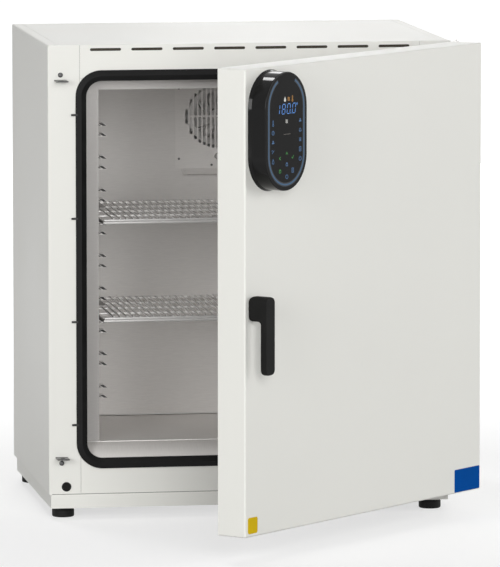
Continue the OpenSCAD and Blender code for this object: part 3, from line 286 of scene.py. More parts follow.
# One finish for each material slot
FINISH = {
    "painted_white": surface("white_powder_coat", PAINT, 0.42, level=0.35, clouds=(2.5, 0.008),
                             grain=(1100.0, 0.05, 0.05 * MM)),
    "stainless": surface("stainless_sheet", INOX, 0.4, metal=0.3, clouds=(3.0, 0.025),
                         brush=(60, 60, 900)),
    # polished wire with painted sheen on the cross rods and painted shade on the wires that run back and the front
    # rail
    "bright_wire": wire_painted_sheen("polished_wire_painted_sheen", (0.64, 0.63, 0.61), (1.0, 0.985, 0.965)),
    "zinc_steel": surface("zinc_plated_steel", (0.30, 0.29, 0.28), 0.3, metal=1.0, clouds=(90.0, 0.08),
                          grain=(700.0, 0.05, 0.05 * MM)),
    "insulation_wool": wool("glass_wool", (0.085, 0.075, 0.06)),
    "black_rubber": surface("silicone_seal", (0.009, 0.009, 0.009), 0.5, level=0.12, clouds=(30.0, 0.15),
                            grain=(1600.0, 0.12, 0.05 * MM)),
    "foot_rubber": surface("foot_rubber", (0.010, 0.010, 0.010), 0.6, level=0.15, clouds=(40.0, 0.2),
                           grain=(1400.0, 0.2, 0.06 * MM)),
    "black_plastic": surface("grained_plastic", (0.014, 0.014, 0.0135), 0.45, level=0.04,
                             clouds=(25.0, 0.12), grain=(2200.0, 0.2, 0.04 * MM)),
    "pod_plastic": surface("gloss_plastic", (0.006, 0.006, 0.006), 0.05, level=0.14,
                           clouds=(15.0, 0.1)),
    "pod_glass": surface("dark_glass", (0.0075, 0.0075, 0.0075), 0.2, level=0.06, clouds=(12.0, 0.08)),
    "blue_light": glow("blue_ring", (0.022, 0.10, 0.215), 0.9, (0.006, 0.006, 0.006)),
    "circuit_board": surface("circuit_board", (0.02, 0.11, 0.05), 0.4, clouds=(250.0, 0.4)),
    "blue_label": surface("blue_print", (0.002, 0.076, 0.346), 0.5, level=0.01, clouds=(20.0, 0.04)),
    "yellow_label": surface("yellow_print", (0.69, 0.475, 0.009), 0.5, level=0.03, clouds=(20.0, 0.04)),
    "dark_steel": surface("dark_steel", (0.10, 0.10, 0.10), 0.4, metal=0.9, clouds=(60.0, 0.15),
                          grain=(900.0, 0.05, 0.05 * MM)),
    "fan_metal": surface("cast_impeller", (0.5, 0.49, 0.475), 0.45, metal=1.0, clouds=(35.0, 0.1),
                         grain=(800.0, 0.1, 0.08 * MM)),
    "motor_metal": surface("motor_casting", (0.12, 0.12, 0.13), 0.6, metal=0.6, clouds=(50.0, 0.15),
                           grain=(500.0, 0.25, 0.1 * MM)),
    "lock_brass": surface("lock_brass", (0.52, 0.36, 0.12), 0.35, metal=1.0, clouds=(80.0, 0.1)),
}


def liner_sheet(name, factor, clouds=(3.0, 0.025), brush=(60, 60, 900), fade=None):
    """Copy of the stainless sheet for the chamber's inside, brighter than the stainless as painted light; factor
    scales its brightness, above 1 as more painted light and below 1 as painted shade.
    """
    return surface(name, shade(LINER, factor), 0.4, metal=0.15, clouds=clouds, brush=brush, fade=fade)


LINER_PAINTED_LIGHT = liner_sheet("liner_sheet", 1.0)
# rear baffle: a brighter copy of the liner sheet that darkens towards its top, painted light below and painted
# shade above
BACK_PAINTED_LIGHT_AND_SHADE = liner_sheet("back_sheet_painted_shade", 1.06, fade=0.78)
# fan cover: a darker copy of the liner sheet, painted shade
COVER_PAINTED_SHADE = liner_sheet("cover_sheet_painted_shade", 0.87)
# chamber floor: a brighter copy of the liner sheet, painted light
FLOOR_PAINTED_LIGHT = liner_sheet("liner_floor_painted_light", 1.18, clouds=(3.0, 0.02), brush=(60, 900, 60))
BLUED_STEEL = surface("blued_steel", (0.035, 0.035, 0.035), 0.3, metal=0.6, clouds=(60.0, 0.1),
                      grain=(900.0, 0.04, 0.05 * MM))
# dark sheet set inside the louvre mouths: painted shade
MOUTH_PAINTED_SHADE = surface("louvre_mouth_painted_shade", (0.085, 0.083, 0.08), 0.6, level=0.3, clouds=(80.0, 0.15))
# sill apron: a much brighter copy of the stainless sheet, painted light
APRON_PAINTED_LIGHT = surface("sill_sheet_painted_light", (0.80, 0.775, 0.745), 0.4, metal=0.1, clouds=(3.0, 0.02),
                       brush=(900, 60, 60))
# lighter paint for the rod on the base's top edge: painted highlight
BEAD_PAINTED_HIGHLIGHT = surface("rolled_edge_painted_highlight", (0.93, 0.925, 0.88), 0.3, level=0.4, clouds=(2.5, 0.01))
# dark rod in the seam above the base: painted shadow
SEAM_PAINTED_SHADOW = surface("painted_shadow_gap", (0.20, 0.20, 0.19), 0.6, level=0.2, clouds=(30.0, 0.1))
# bright glossy rods along bends: painted highlights
EDGE_PAINTED_HIGHLIGHT = surface("polished_edge_painted_highlight", (0.80, 0.79, 0.77), 0.3, metal=0.3, clouds=(30.0, 0.03))
# CAD nodes whose finish differs from that of their slot; the chamber's sheets get brighter and darker copies of
# the stainless, painted light and painted shade
NODE_FINISH = {
    "chamber_liner": FLOOR_PAINTED_LIGHT,
    "left_rack_wall": LINER_PAINTED_LIGHT,
    "right_rack_wall": LINER_PAINTED_LIGHT,
    "rear_baffle": BACK_PAINTED_LIGHT_AND_SHADE,
    "fan_cover": COVER_PAINTED_SHADE,
    "upper_catch": BLUED_STEEL,
    "lower_catch": BLUED_STEEL,
}
# glow painted in the glass round the light ring
RING_GLOW = glow("ring_halo", (0.004, 0.012, 0.022), 0.8)
LIT_BLUE = glow("lit_blue", (0.08, 0.28, 0.75), 1.0)
LIT_PALE_BLUE = glow("lit_pale_blue", (0.05, 0.16, 0.36), 0.9)
LIT_GREEN = glow("lit_green", (0.02, 0.26, 0.03), 0.9)
LIT_WHITE = glow("lit_white", (0.62, 0.62, 0.58), 1.0)
LIT_ORANGE = glow("lit_orange", (0.55, 0.25, 0.03), 0.9)
LIT_GREY = glow("lit_grey", (0.20, 0.18, 0.16), 0.8)


def dress_nodes():
    """Gives every CAD node its own finish, or else that of its slot."""
    for row in frame["record"]["subparts"]:
        mesh = NODES[row["node"]].data
        mesh.materials.clear()
        mesh.materials.append(NODE_FINISH.get(row["node"], FINISH[row["material_slot"]]))


# Making pieces

def piece(name, work, finish, body, place=FLAT, smooth=None):
    """Object from a bmesh drawn in the frame that place leads from; it rides on body.

    smooth is the angle, in degrees, up to which faces shade into each other.
    """
    work.transform(place)
    bmesh.ops.recalc_face_normals(work, faces=work.faces)
    mesh = bpy.data.meshes.new(name)
    work.to_mesh(mesh)
    work.free()
    mesh.materials.append(finish)
    if smooth:
        mesh.shade_smooth()
        mesh.set_sharp_from_angle(angle=radians(smooth))
    obj = bpy.data.objects.new(name, mesh)
    bpy.context.scene.collection.objects.link(obj)
    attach(obj, body)
    return obj


def bridge(work, one, other):
    """Adds the faces between two rings of as many corners."""
    count = len(one)
    for n in range(count):
        m = (n + 1) % count
        work.faces.new((one[n], one[m], other[m], other[n]))


def loft(work, rings):
    """Adds a closed skin through rings of as many corners."""
    for one, other in zip(rings, rings[1:]):
        bridge(work, one, other)
    work.faces.new(rings[0][::-1])
    work.faces.new(rings[-1])


def turned(work, profile, place, steps=TURN_STEPS, corner=None):
    """Adds a solid turned about z from (radius, height) pairs.

    The rings from number corner on get a hexagonal outline.
    """
    rings = []
    for index, (radius, height) in enumerate(profile):
        ring = []
        for n in range(steps):
            a = 2 * pi * n / steps
            r = radius
            if corner is not None and index >= corner:
                r = radius * cos(pi / 6) / cos((a + pi / 6) % (pi / 3) - pi / 6)
            ring.append(work.verts.new(place @ Vector((r * cos(a), r * sin(a), height))))
        rings.append(ring)
    loft(work, rings)


def plate(work, outline, lift, thickness, spot):
    """Adds a thin flat solid with a 2-D outline; spot turns (across, up, out) into a place."""
    loft(work, [[work.verts.new(spot(x, y, out)) for x, y in outline] for out in (lift, lift + thickness)])


def rod(work, x0, x1, y, z, r):
    """Adds a rod along x with broken edges."""
    at = Matrix.Translation((x0, y, z)) @ Matrix.Rotation(pi / 2, 4, "Y")
    long = x1 - x0
    turned(work, [(r * 0.6, 0), (r, 0.6 * r), (r, long - 0.6 * r), (r * 0.6, long)], at, ROD_STEPS)


def stroke(points, width, closed=False):
    """Outlines of a line of even width along the points: one, or a quad for each stretch of a closed loop."""
    count = len(points)
    left, right = [], []
    for n, (x, y) in enumerate(points):
        if closed:
            before, after = points[n - 1], points[(n + 1) % count]
        else:
            before, after = points[max(n - 1, 0)], points[min(n + 1, count - 1)]
        one = Vector((x - before[0], y - before[1]))
        two = Vector((after[0] - x, after[1] - y))
        one = one.normalized() if one.length else two.normalized()
        two = two.normalized() if two.length else one
        along = (one + two).normalized()
        side = Vector((-along.y, along.x)) * (width / 2 / max(0.4, along.dot(one)))
        left.append((x + side.x, y + side.y))
        right.append((x - side.x, y - side.y))
    if closed:
        return [[left[n], left[(n + 1) % count], right[(n + 1) % count], right[n]] for n in range(count)]
    return [left + right[::-1]]


def bands(points, width):
    """The two edges of each stretch of a line of even width: pairs of points, left and right."""
    outline = stroke(points, width)[0]
    count = len(points)
    left, right = outline[:count], outline[count:][::-1]
    return [((left[n], left[n + 1]), (right[n], right[n + 1])) for n in range(count - 1)]


def arc(centre, radius, start, end, steps=14):
    """Points on an arc, from one angle to another in degrees."""
    return [(centre[0] + radius * cos(radians(start + (end - start) * n / steps)),
             centre[1] + radius * sin(radians(start + (end - start) * n / steps)))
            for n in range(steps + 1)]


def circle(centre, radius, steps=20):
    """Closed outline of a circle."""
    return arc(centre, radius, 0, 360, steps)[:-1]


# Display of the control pod, drawn across and up from the middle of its glass

GLASS_LOW, GLASS_HIGH = whole_box("pod_glass", DOOR)
GLASS_X = (GLASS_LOW.x + GLASS_HIGH.x) / 2
GLASS_Z = (GLASS_LOW.z + GLASS_HIGH.z) / 2
PRINT_LIFT = 0.05 * MM
PRINT_DEPTH = 0.12 * MM
LINE = 0.9
FINE_LINE = LINE * 0.8


def on_glass(across, up, out):
    """Place on the glass of the shut door; across and up are in millimetres, out in metres."""
    return Vector((GLASS_X + across * MM, GLASS_LOW.y - out, GLASS_Z + up * MM))


def print_piece(name, outlines, finish, lift=PRINT_LIFT):
    """Piece of thin print on the glass, one plate for each outline."""
    work = bmesh.new()
    for outline in outlines:
        plate(work, outline, lift, PRINT_DEPTH, on_glass)
    return piece(name, work, finish, "door", DOOR)


# Light ring: a stadium with a break at the top, in millimetres and degrees
RING_HALF = 51.7
RING_STRAIGHT = 40.5
RING_UP = 0.9
RING_END = 61
RING_WIDTH = 2.3
HALO_WIDTH = 6.5
HALO_LIFT = 0.02 * MM


def ring_stretches(width):
    """Outlines of the stretches of the light ring's path, width wide."""
    top, bottom = (0, RING_UP + RING_STRAIGHT), (0, RING_UP - RING_STRAIGHT)
    path = arc(top, RING_HALF, RING_END, 0, 24)
    path += arc(bottom, RING_HALF, 0, -180, 48)
    path += arc(top, RING_HALF, 180, 180 - RING_END, 24)
    return [[a, b, c, d] for (a, b), (d, c) in bands(path, width)]


def light_ring():
    """Light ring, and the dim halo round it in the glass, a painted glow of the ring's light."""
    made = print_piece("ring_light", ring_stretches(RING_WIDTH), FINISH["blue_light"],
                       2 * PRINT_LIFT)
    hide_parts("pod_light_ring")
    print_piece("ring_halo", ring_stretches(HALO_WIDTH), RING_GLOW, HALO_LIFT)


# Digits, in millimetres: each with its left edge, then the decimal point and the degree sign
DIGIT_H = 16.4
DIGIT_W = 8.6
DIGIT_SLANT = 0.13
DIGIT_UP = 38.5
SEGMENT = 1.35
SEGMENT_GAP = 0.7
SEGMENTS = {"0": "abcdef", "1": "bc", "8": "abcdefg"}
DIGITS = (("1", -29.5), ("8", -13.4), ("0", 1.5), ("0", 17.0))
POINT = (13.1, 0.2)
DEGREE = (31.4, 45.4)


def segment(kind):
    """Six-sided bar of a seven-segment digit, before slanting, from the digit's lower left corner."""
    w, h, t, g = DIGIT_W, DIGIT_H, SEGMENT / 2, SEGMENT_GAP
    x, y = {"a": (w / 2, h), "d": (w / 2, 0), "g": (w / 2, h / 2), "b": (w, h * 0.75),
            "c": (w, h * 0.25), "e": (0, h * 0.25), "f": (0, h * 0.75)}[kind]
    if kind in "adg":
        r = w / 2 - g
        return [(x - r, y), (x - r + t, y - t), (x + r - t, y - t), (x + r, y), (x + r - t, y + t),
                (x - r + t, y + t)]
    r = h / 4 - g
    return [(x, y - r), (x + t, y - r + t), (x + t, y + r - t), (x, y + r), (x - t, y + r - t),
            (x - t, y - r + t)]


def slanted(outline, left, low):
    """Outline slanted like the digits, moved to its left edge and its foot."""
    return [(left + x + y * DIGIT_SLANT, low + y) for x, y in outline]


def display_digits():
    low = DIGIT_UP - DIGIT_H / 2
    outlines = []
    for digit, left in DIGITS:
        outlines += [slanted(segment(kind), left, low) for kind in SEGMENTS[digit]]
    outlines.append(slanted(circle(POINT, 1.0, 12), 0, low))
    outlines += stroke(circle(DEGREE, 1.4), 0.8, closed=True)
    print_piece("display_digits", outlines, LIT_BLUE)


# Symbols, each round its middle, a few millimetres high

def icon_thermometer(x, y):
    tube = [(x - 0.9, y - 1.7)] + arc((x, y + 4.0), 0.9, 180, 0, 8) + [(x + 0.9, y - 1.7)]
    return stroke(circle((x, y - 3.2), 1.7), LINE, True) + stroke(tube, FINE_LINE)


def icon_clock(x, y):
    return stroke(circle((x, y), 3.3), LINE, True) + stroke([(x, y + 2.0), (x, y), (x + 1.5, y)], FINE_LINE)


def icon_drop(x, y):
    return stroke([(x, y + 4.2)] + arc((x, y - 1.2), 2.6, 30, -210, 18), LINE, True)


def icon_fan(x, y):
    blades = []
    for turn in (90, 210, 330):
        a = radians(turn)
        blades.append(arc((x + 2.0 * cos(a), y + 2.0 * sin(a)), 1.5, turn - 90, turn + 180, 10))
    return blades + [circle((x, y), 0.7, 10)]


def icon_flap(x, y):
    corner = [(x - 3.2, y + 0.6), (x - 3.2, y + 3.0), (x - 0.6, y + 3.0)]
    return stroke([(x - 3, y - 2.4), (x + 2.8, y + 2.6)], LINE) + stroke(corner, FINE_LINE)


def icon_bell(x, y):
    shape = [(x - 3, y - 2)] + arc((x, y + 0.6), 2.2, 180, 0, 10) + [(x + 3, y - 2)]
    return stroke(shape, LINE, True) + [circle((x, y - 3.3), 0.7, 10)]


def icon_lock(x, y):
    body = [(x - 2.4, y - 3.2), (x + 2.4, y - 3.2), (x + 2.4, y + 0.6), (x - 2.4, y + 0.6)]
    return stroke(body, LINE, True) + stroke(arc((x, y + 0.9), 1.7, 180, 0, 10), FINE_LINE)


def icon_wave(x, y):
    return [o for lift in (-2.2, 0, 2.2) for o in stroke(
        [(x - 3 + n * 0.6, y + lift + 0.8 * sin(n * 1.25)) for n in range(11)], FINE_LINE)]


def icon_arrow(x, y, turn):
    a = radians(turn)
    tip = [(-1.6, -2.6), (1.8, 0), (-1.6, 2.6)]
    return stroke([(x + u * cos(a) - v * sin(a), y + u * sin(a) + v * cos(a)) for u, v in tip], 1.3)


def icon_power(x, y):
    return stroke(arc((x, y), 3.4, 120, 420, 20), LINE) + stroke([(x, y + 1.2), (x, y + 4.4)], LINE)


def icon_tick(x, y):
    return stroke([(x - 2.8, y + 0.2), (x - 0.8, y - 2.0), (x + 3.0, y + 2.8)], 1.2)


def icon_book(x, y):
    page = [(x - 2.6, y - 3.6), (x + 2.6, y - 3.6), (x + 2.6, y + 3.6), (x - 2.6, y + 3.6)]
    return stroke(page, LINE, True) + [o for lift in (-1.2, 1.2) for o in stroke(
        [(x - 1.3, y + lift), (x + 1.3, y + lift)], FINE_LINE)]


# Places of the symbols, in millimetres; those of the keypad's ring are shares of its radius
COLUMN_TOP = 16.1
COLUMN_PITCH = 16.4
LEFT_COLUMN = -39.2
RIGHT_COLUMN = 40.8
KEYPAD = (1.3, -57.9)
KEY_RING = 20.0
KEY_SIDE = 0.87
KEY_HIGH = 0.63
STATUS_UP = 55.1
DROP = (-4.2, 53.6)
WAVE = (0.8, 17.1)
DASH_START = (-7.6, -4.9)
DASH = 2.4
DASH_PITCH = 4.2
DASH_COUNT = 5


def display_icons():
    left = [icon_thermometer, icon_clock, icon_fan, icon_flap, icon_drop]
    right = [icon_fan, icon_bell, icon_wave, icon_book, icon_power]
    blue = []
    for n, (one, other) in enumerate(zip(left, right)):
        height = COLUMN_TOP - n * COLUMN_PITCH
        blue += one(LEFT_COLUMN, height) + other(RIGHT_COLUMN, height)
    x, y = KEYPAD
    blue += icon_lock(x, y + 1.8) + icon_power(x, y - KEY_RING)
    blue += icon_book(x + KEY_RING * KEY_SIDE, y - KEY_RING * 0.5)
    print_piece("display_icons_blue", blue, LIT_PALE_BLUE)
    green = icon_arrow(x, y + KEY_RING, 90) + icon_tick(x + KEY_RING * KEY_SIDE, y + KEY_RING * KEY_HIGH)
    green += icon_arrow(x - KEY_RING, y + KEY_RING * KEY_HIGH, 180)
    green += icon_lock(x - KEY_RING, y - KEY_RING * 0.44)
    print_piece("display_icons_green", green, LIT_GREEN)
    white = [[(DROP[0], DROP[1] + 6.4)] + arc(DROP, 2.9, 40, -220, 18)] + icon_wave(*WAVE)
    print_piece("display_icons_white", white, LIT_WHITE)
    orange = icon_wave(6.8, STATUS_UP) + icon_thermometer(17.8, STATUS_UP)
    print_piece("display_icons_orange", orange, LIT_ORANGE)
    dashes = []
    for n in range(DASH_COUNT):
        start, height = DASH_START[0] + DASH_PITCH * n, DASH_START[1]
        dashes += stroke([(start, height), (start + DASH, height)], 1.0)
    print_piece("display_dashes", dashes, LIT_GREY)


# Fasteners and fine forms of sheet, drawn where the frame has their plain forms

def facing(axis, at):
    """Turns z towards axis and moves to at."""
    return Matrix.Translation(at) @ Vector((0, 0, 1)).rotation_difference(Vector(axis)).to_matrix().to_4x4()


def screw(work, radius, height, shank, depth, place):
    """Adds a domed screw with a hexagonal recess; z = 0 is its seat, and its shank reaches depth below."""
    socket = radius * 0.5
    profile = [(shank, -depth), (shank, 0), (radius, 0), (radius, height * 0.25)]
    profile += [(socket + (radius - socket) * cos(a), height * (0.25 + 0.75 * sin(a))) for a in QUARTER[:-1]]
    profile += [(socket, height), (socket * 0.94, height * 0.35), (socket * 0.5, height * 0.3)]
    turned(work, profile, place, SCREW_STEPS, corner=len(profile) - 3)


def front_screws(name, node, shank, slot, seat_on=None, grow=1.0):
    """Screws in place of a node's plain ones, with heads towards the front, seated on a node's front."""
    work = bmesh.new()
    for low, high in islands(node):
        radius = (high.x - low.x) / 2 * grow
        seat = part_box(seat_on)[0].y if seat_on else high.y
        depth = high.y - seat
        at = Vector(((low.x + high.x) / 2, seat, (low.z + high.z) / 2))
        screw(work, radius, seat - low.y, shank, depth, facing((0, -1, 0), at))
    made = piece(name, work, FINISH[slot], "cabinet", smooth=35)
    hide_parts(node)


CLIP_OUT = 6.2 * MM
CLIP_TIP = 2.4 * MM
CLIP_IN = 3.0 * MM
CLIP_HIGH = 3.4 * MM
# share of the clip's height, and how far it stands off there
CLIP_ROUND = ((-0.5, 0.72), (-0.38, 1.0), (0.38, 1.0), (0.5, 0.72))


def gasket_clips():
    """Spring clips that hold the gasket's edge: rounded tongues with turned-up ends, in place of pins."""
    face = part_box("front_frame")[0].y
    gasket = [corner.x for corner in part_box("gasket")]
    work = bmesh.new()
    for low, high in islands("gasket_pins"):
        x, z = (low.x + high.x) / 2, (low.z + high.z) / 2
        side, edge = (1, gasket[1]) if x > sum(gasket) / 2 else (-1, gasket[0])
        rise, tip = low.y - face, CLIP_OUT + CLIP_TIP
        # side view of the tongue: out from the gasket, standing off the frame
        tongue = [(-CLIP_IN, rise - 0.2 * MM), (CLIP_OUT, rise - 0.2 * MM), (tip - 0.8 * MM, rise - 1.0 * MM),
                  (tip, rise - 1.0 * MM), (tip, rise + 0.2 * MM), (CLIP_OUT + 1.0 * MM, 0.0), (-CLIP_IN, 0.0)]
        loft(work, [[work.verts.new((edge + side * out, face + away * off, z + share * CLIP_HIGH))
                     for out, away in tongue] for share, off in CLIP_ROUND])
    made = piece("gasket_clips", work, BLUED_STEEL, "cabinet", smooth=30)
    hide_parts("gasket_pins")


# Rack walls, from the front and bottom edges of the wall to its tabs
SHEET = 1.0 * MM
TAB_BACK = 8.4 * MM
TAB_LEVELS = 9
TAB_FIRST = 89.5 * MM
TAB_PITCH = 59.0 * MM
TAB_HALF = 5.9 * MM
# Hoods over the tabs
HOOD_OUT = 17.6 * MM
HOOD_RISE = 6.4 * MM
HOOD_LONG = 15.0 * MM
HOOD_SLOPE = 8.5 * MM
HOOD_RIM = 0.5 * MM
HOOD_DEEP = 9.0 * MM
SHELF_NEAR = 4 * MM


def tab_hoods():
    """Longer louvre hoods over the rack walls' front tabs, each with a dark sheet inside its mouth, a painted
    shade.

    The tabs that carry the shelves' runners stay bare.
    """
    shelves = [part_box(node)[0].z for node in ("upper_shelf", "lower_shelf")]
    hoods = bmesh.new()
    mouths = bmesh.new()
    outer = [(0, 0), (HOOD_OUT, 0), (HOOD_OUT - HOOD_SLOPE, HOOD_RISE), (0, HOOD_RISE)]
    inner = [(0, HOOD_RIM), (HOOD_OUT - 2.9 * HOOD_RIM, HOOD_RIM),
             (HOOD_OUT - HOOD_SLOPE - 0.5 * HOOD_RIM, HOOD_RISE - HOOD_RIM), (0, HOOD_RISE - HOOD_RIM)]

    def hood(wall, side, front, base):
        def ring(work, shape, y):
            return [work.verts.new((wall + side * x, y, base + z)) for x, z in shape]

        rim, back = ring(hoods, outer, front), ring(hoods, outer, front + HOOD_LONG)
        bridge(hoods, rim, back)
        bridge(hoods, rim, ring(hoods, inner, front))
        hoods.faces.new(back)
        # dark sheet a little inside the mouth: painted shade of the opening
        deep = ring(mouths, inner, front + HOOD_DEEP)
        bridge(mouths, ring(mouths, inner, front), deep)
        mouths.faces.new(deep)

    for node, side in (("left_rack_wall", 1), ("right_rack_wall", -1)):
        low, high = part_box(node)
        wall = low.x + SHEET if side > 0 else high.x - SHEET
        for n in range(TAB_LEVELS):
            level = low.z + TAB_FIRST + n * TAB_PITCH
            above, below = level + TAB_HALF, level - TAB_HALF - HOOD_RISE
            hood(wall, side, low.y + TAB_BACK, below)
            if all(abs(above - shelf) >= SHELF_NEAR for shelf in shelves):
                hood(wall, side, low.y + TAB_BACK, above)
    piece("tab_hoods", hoods, LINER_PAINTED_LIGHT, "cabinet")
    piece("tab_mouths_painted_shade", mouths, MOUTH_PAINTED_SHADE, "cabinet")


REAR_SCREW = 3.2 * MM
REAR_SCREW_IN = 9 * MM
REAR_SCREWS_UP = 5
REAR_SCREWS_ACROSS = 4
INLET_SCREW_IN = 3.2 * MM


def rear_screws():
    """Small screws round the edge of the rear panel."""
    low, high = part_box("rear_panel")
    work = bmesh.new()
    x0, x1 = low.x + REAR_SCREW_IN, high.x - REAR_SCREW_IN
    z0, z1 = low.z + REAR_SCREW_IN, high.z - REAR_SCREW_IN
    spots = [(x, z0 + (z1 - z0) * n / (REAR_SCREWS_UP - 1)) for x in (x0, x1) for n in range(REAR_SCREWS_UP)]
    spots += [(x0 + (x1 - x0) * n / (REAR_SCREWS_ACROSS - 1), z) for z in (z0, z1)
              for n in range(1, REAR_SCREWS_ACROSS - 1)]
    for x, z in spots:
        screw(work, REAR_SCREW, 1.8 * MM, 1.6 * MM, 3 * MM, facing((0, 1, 0), Vector((x, high.y, z))))
    piece("rear_screws", work, FINISH["zinc_steel"], "cabinet", smooth=35)


def inlet_screws():
    """The two screws of the mains inlet's flange."""
    low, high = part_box("mains_inlet")
    work = bmesh.new()
    for x in (low.x + INLET_SCREW_IN, high.x - INLET_SCREW_IN):
        at = Vector((x, high.y, (low.z + high.z) / 2))
        screw(work, 1.9 * MM, 0.9 * MM, 1.2 * MM, 2 * MM, facing((0, 1, 0), at))
    piece("inlet_screws", work, FINISH["zinc_steel"], "cabinet", smooth=35)


TREAD = 3 * MM
GROOVE = 0.9 * MM
FOOT_EDGE = 0.8 * MM
STUD = 4 * MM
THREAD = 0.35 * MM
THREAD_STEPS = 44
NUT = (7.5 * MM, 2.1 * MM, 7 * MM)


def rubber_feet():
    """Feet with a rounded tread edge and a groove, each on its threaded stud with a nut."""
    work = bmesh.new()
    studs = bmesh.new()
    for low, high in islands("feet"):
        r = (high.x - low.x) / 2
        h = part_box("base_frame")[0].z
        at = Matrix.Translation(((low.x + high.x) / 2, (low.y + high.y) / 2, low.z))
        edge = [(r - TREAD * (1 - sin(a)), TREAD * (1 - cos(a))) for a in [0.0] + QUARTER]
        top = [(r, h * 0.66), (r - GROOVE, h * 0.68), (r - GROOVE, h * 0.74), (r, h * 0.76),
               (r, h - FOOT_EDGE), (r - FOOT_EDGE, h)]
        turned(work, edge + top, at)
        thread = [(STUD - THREAD * (n % 2), h + THREAD * n) for n in range(THREAD_STEPS)]
        turned(studs, thread, at, SCREW_STEPS)
        nut_r, nut_low, nut_high = NUT
        turned(studs, [(nut_r, h + nut_low), (nut_r, h + nut_high)], at, SCREW_STEPS, corner=0)
    made = piece("rubber_feet", work, FINISH["foot_rubber"], "cabinet", smooth=35)
    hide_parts("feet")
    piece("foot_studs", studs, FINISH["zinc_steel"], "cabinet", smooth=35)


PLUG_RIM = 2 * MM


def plug_caps():
    """Blanking plugs with a dished middle."""
    work = bmesh.new()
    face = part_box("front_frame")[0].y
    for low, high in islands("blanking_plugs"):
        at = Vector(((low.x + high.x) / 2, face, (low.z + high.z) / 2))
        r, h = (high.x - low.x) / 2, face - low.y
        profile = [(r - PLUG_RIM, low.y - high.y + h), (r - PLUG_RIM, 0), (r, 0), (r, h * 0.3)]
        profile += [(r - h * 0.7 * (1 - cos(a)), h * (0.3 + 0.7 * sin(a))) for a in QUARTER]
        profile += [(r * 0.7, h * 0.97), (r * 0.4, h * 0.8), (r * 0.05, h * 0.74)]
        turned(work, profile, facing((0, -1, 0), at))
    made = piece("plug_caps", work, FINISH["black_plastic"], "cabinet", smooth=40)
    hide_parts("blanking_plugs")


# Part of a circle that the apron's section follows, in degrees from its top
APRON_STEPS = 14
APRON_TOP = 16
APRON_LOW = 52
APRON_SHEET = 0.8 * MM


def sill_apron():
    """Rolled drip sheet over the sill, from the chamber floor's edge down to the seal."""
    low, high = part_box("front_collar")
    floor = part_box("left_rack_wall")[0].z
    y1, z1 = high.y - 1.6 * MM, floor - 0.2 * MM
    y0, z0 = low.y + 1.5 * MM, low.z + 1.6 * MM
    angles = [radians(APRON_TOP + (APRON_LOW - APRON_TOP) * n / APRON_STEPS) for n in range(APRON_STEPS + 1)]
    # unit arc from its start, then stretched to end exactly at the seal
    spread = [(sin(a) - sin(angles[0]), cos(angles[0]) - cos(a)) for a in angles]
    across, down = spread[-1]
    upper = [(y1 - (y1 - y0) * u / across, z1 - (z1 - z0) * v / down) for u, v in spread]
    section = upper + [(y, z - APRON_SHEET) for y, z in reversed(upper)]
    half, middle = (high.x - low.x) / 2 - 2.5 * MM, (low.x + high.x) / 2
    work = bmesh.new()
    loft(work, [[work.verts.new((x, y, z)) for y, z in section] for x in (middle - half, middle + half)])
    piece("sill_apron", work, APRON_PAINTED_LIGHT, "cabinet", smooth=40)


def base_lines():
    """Rod in lighter paint along the base frame's top edge, a painted highlight, and a dark rod in the gap between
    it and the panels, a painted shadow.
    """
    low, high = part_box("base_frame")
    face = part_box("front_frame")[0].y
    for name, y, z, r, finish in (("base_bead_painted_highlight", low.y + 0.5 * MM, high.z - 1.2 * MM, 0.9 * MM, BEAD_PAINTED_HIGHLIGHT),
                                  ("base_gap_painted_shadow", face + 0.3 * MM, high.z + 0.8 * MM, 0.6 * MM, SEAM_PAINTED_SHADOW)):
        work = bmesh.new()
        rod(work, low.x + 2 * MM, high.x - 2 * MM, y, z, r)
        piece(name, work, finish, "cabinet", smooth=50)


def edge_strips():
    """Bright rods on the sill's top edge and the floor's bend up to the back: painted highlights along these
    bends.
    """
    low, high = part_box("chamber_liner")
    collar_low, collar_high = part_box("front_collar")
    wall_low, wall_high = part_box("left_rack_wall")
    floor = wall_low.z
    for name, x0, x1, y, z, r in (
            ("sill_edge", collar_low.x + 3 * MM, collar_high.x - 3 * MM, collar_high.y - 1.6 * MM,
             floor + 0.1 * MM, 0.8 * MM),
            ("floor_bend", low.x + 4 * MM, high.x - 4 * MM, wall_high.y - 1.1 * MM,
             floor + 0.9 * MM, 1.0 * MM)):
        work = bmesh.new()
        rod(work, x0, x1, y, z, r)
        piece(name, work, EDGE_PAINTED_HIGHLIGHT, "cabinet", smooth=50)


# Room: camera, light, floor

def set_camera():
    """Camera at the place that was fitted to the photograph."""
    data = bpy.data.cameras.new("camera")
    data.lens = CAMERA_LENS
    data.sensor_fit = "VERTICAL"
    data.sensor_height = CAMERA_SENSOR
    data.shift_x, data.shift_y = CAMERA_SHIFT
    data.clip_start, data.clip_end = 0.1, 100
    camera = bpy.data.objects.new("camera", data)
    bpy.context.scene.collection.objects.link(camera)
    turn = Matrix((CAMERA_RIGHT, CAMERA_UP, CAMERA_BACK)).transposed()
    camera.matrix_world = Matrix.Translation(CAMERA_PLACE) @ turn.to_4x4()
    bpy.context.scene.camera = camera


AIM = Vector((0, 0, 0.42))
# name: place, width and height of the lamp, watts
LAMPS = {
    "left_lamp": ((-4.4, -6.4, 2.0), 3.0, 255),
    "front_lamp": ((0.4, -7.6, 2.6), 3.5, 225),
    "low_lamp": ((-0.6, -8.0, 0.7), 1.6, 38),
    "right_lamp": ((6.5, -0.6, 2.0), 3.0, 148),
    "top_lamp": ((-1.3, 2.4, 5.0), 0.9, 48),
    "back_fill": ((1.2, 6.5, 0.5), 1.2, 50),
    "rear_lamp": ((1.5, 7.0, 4.4), 2.6, 76),
}
# Strength of the white room for all that eyes and mirrors don't see
AMBIENT = 0.11


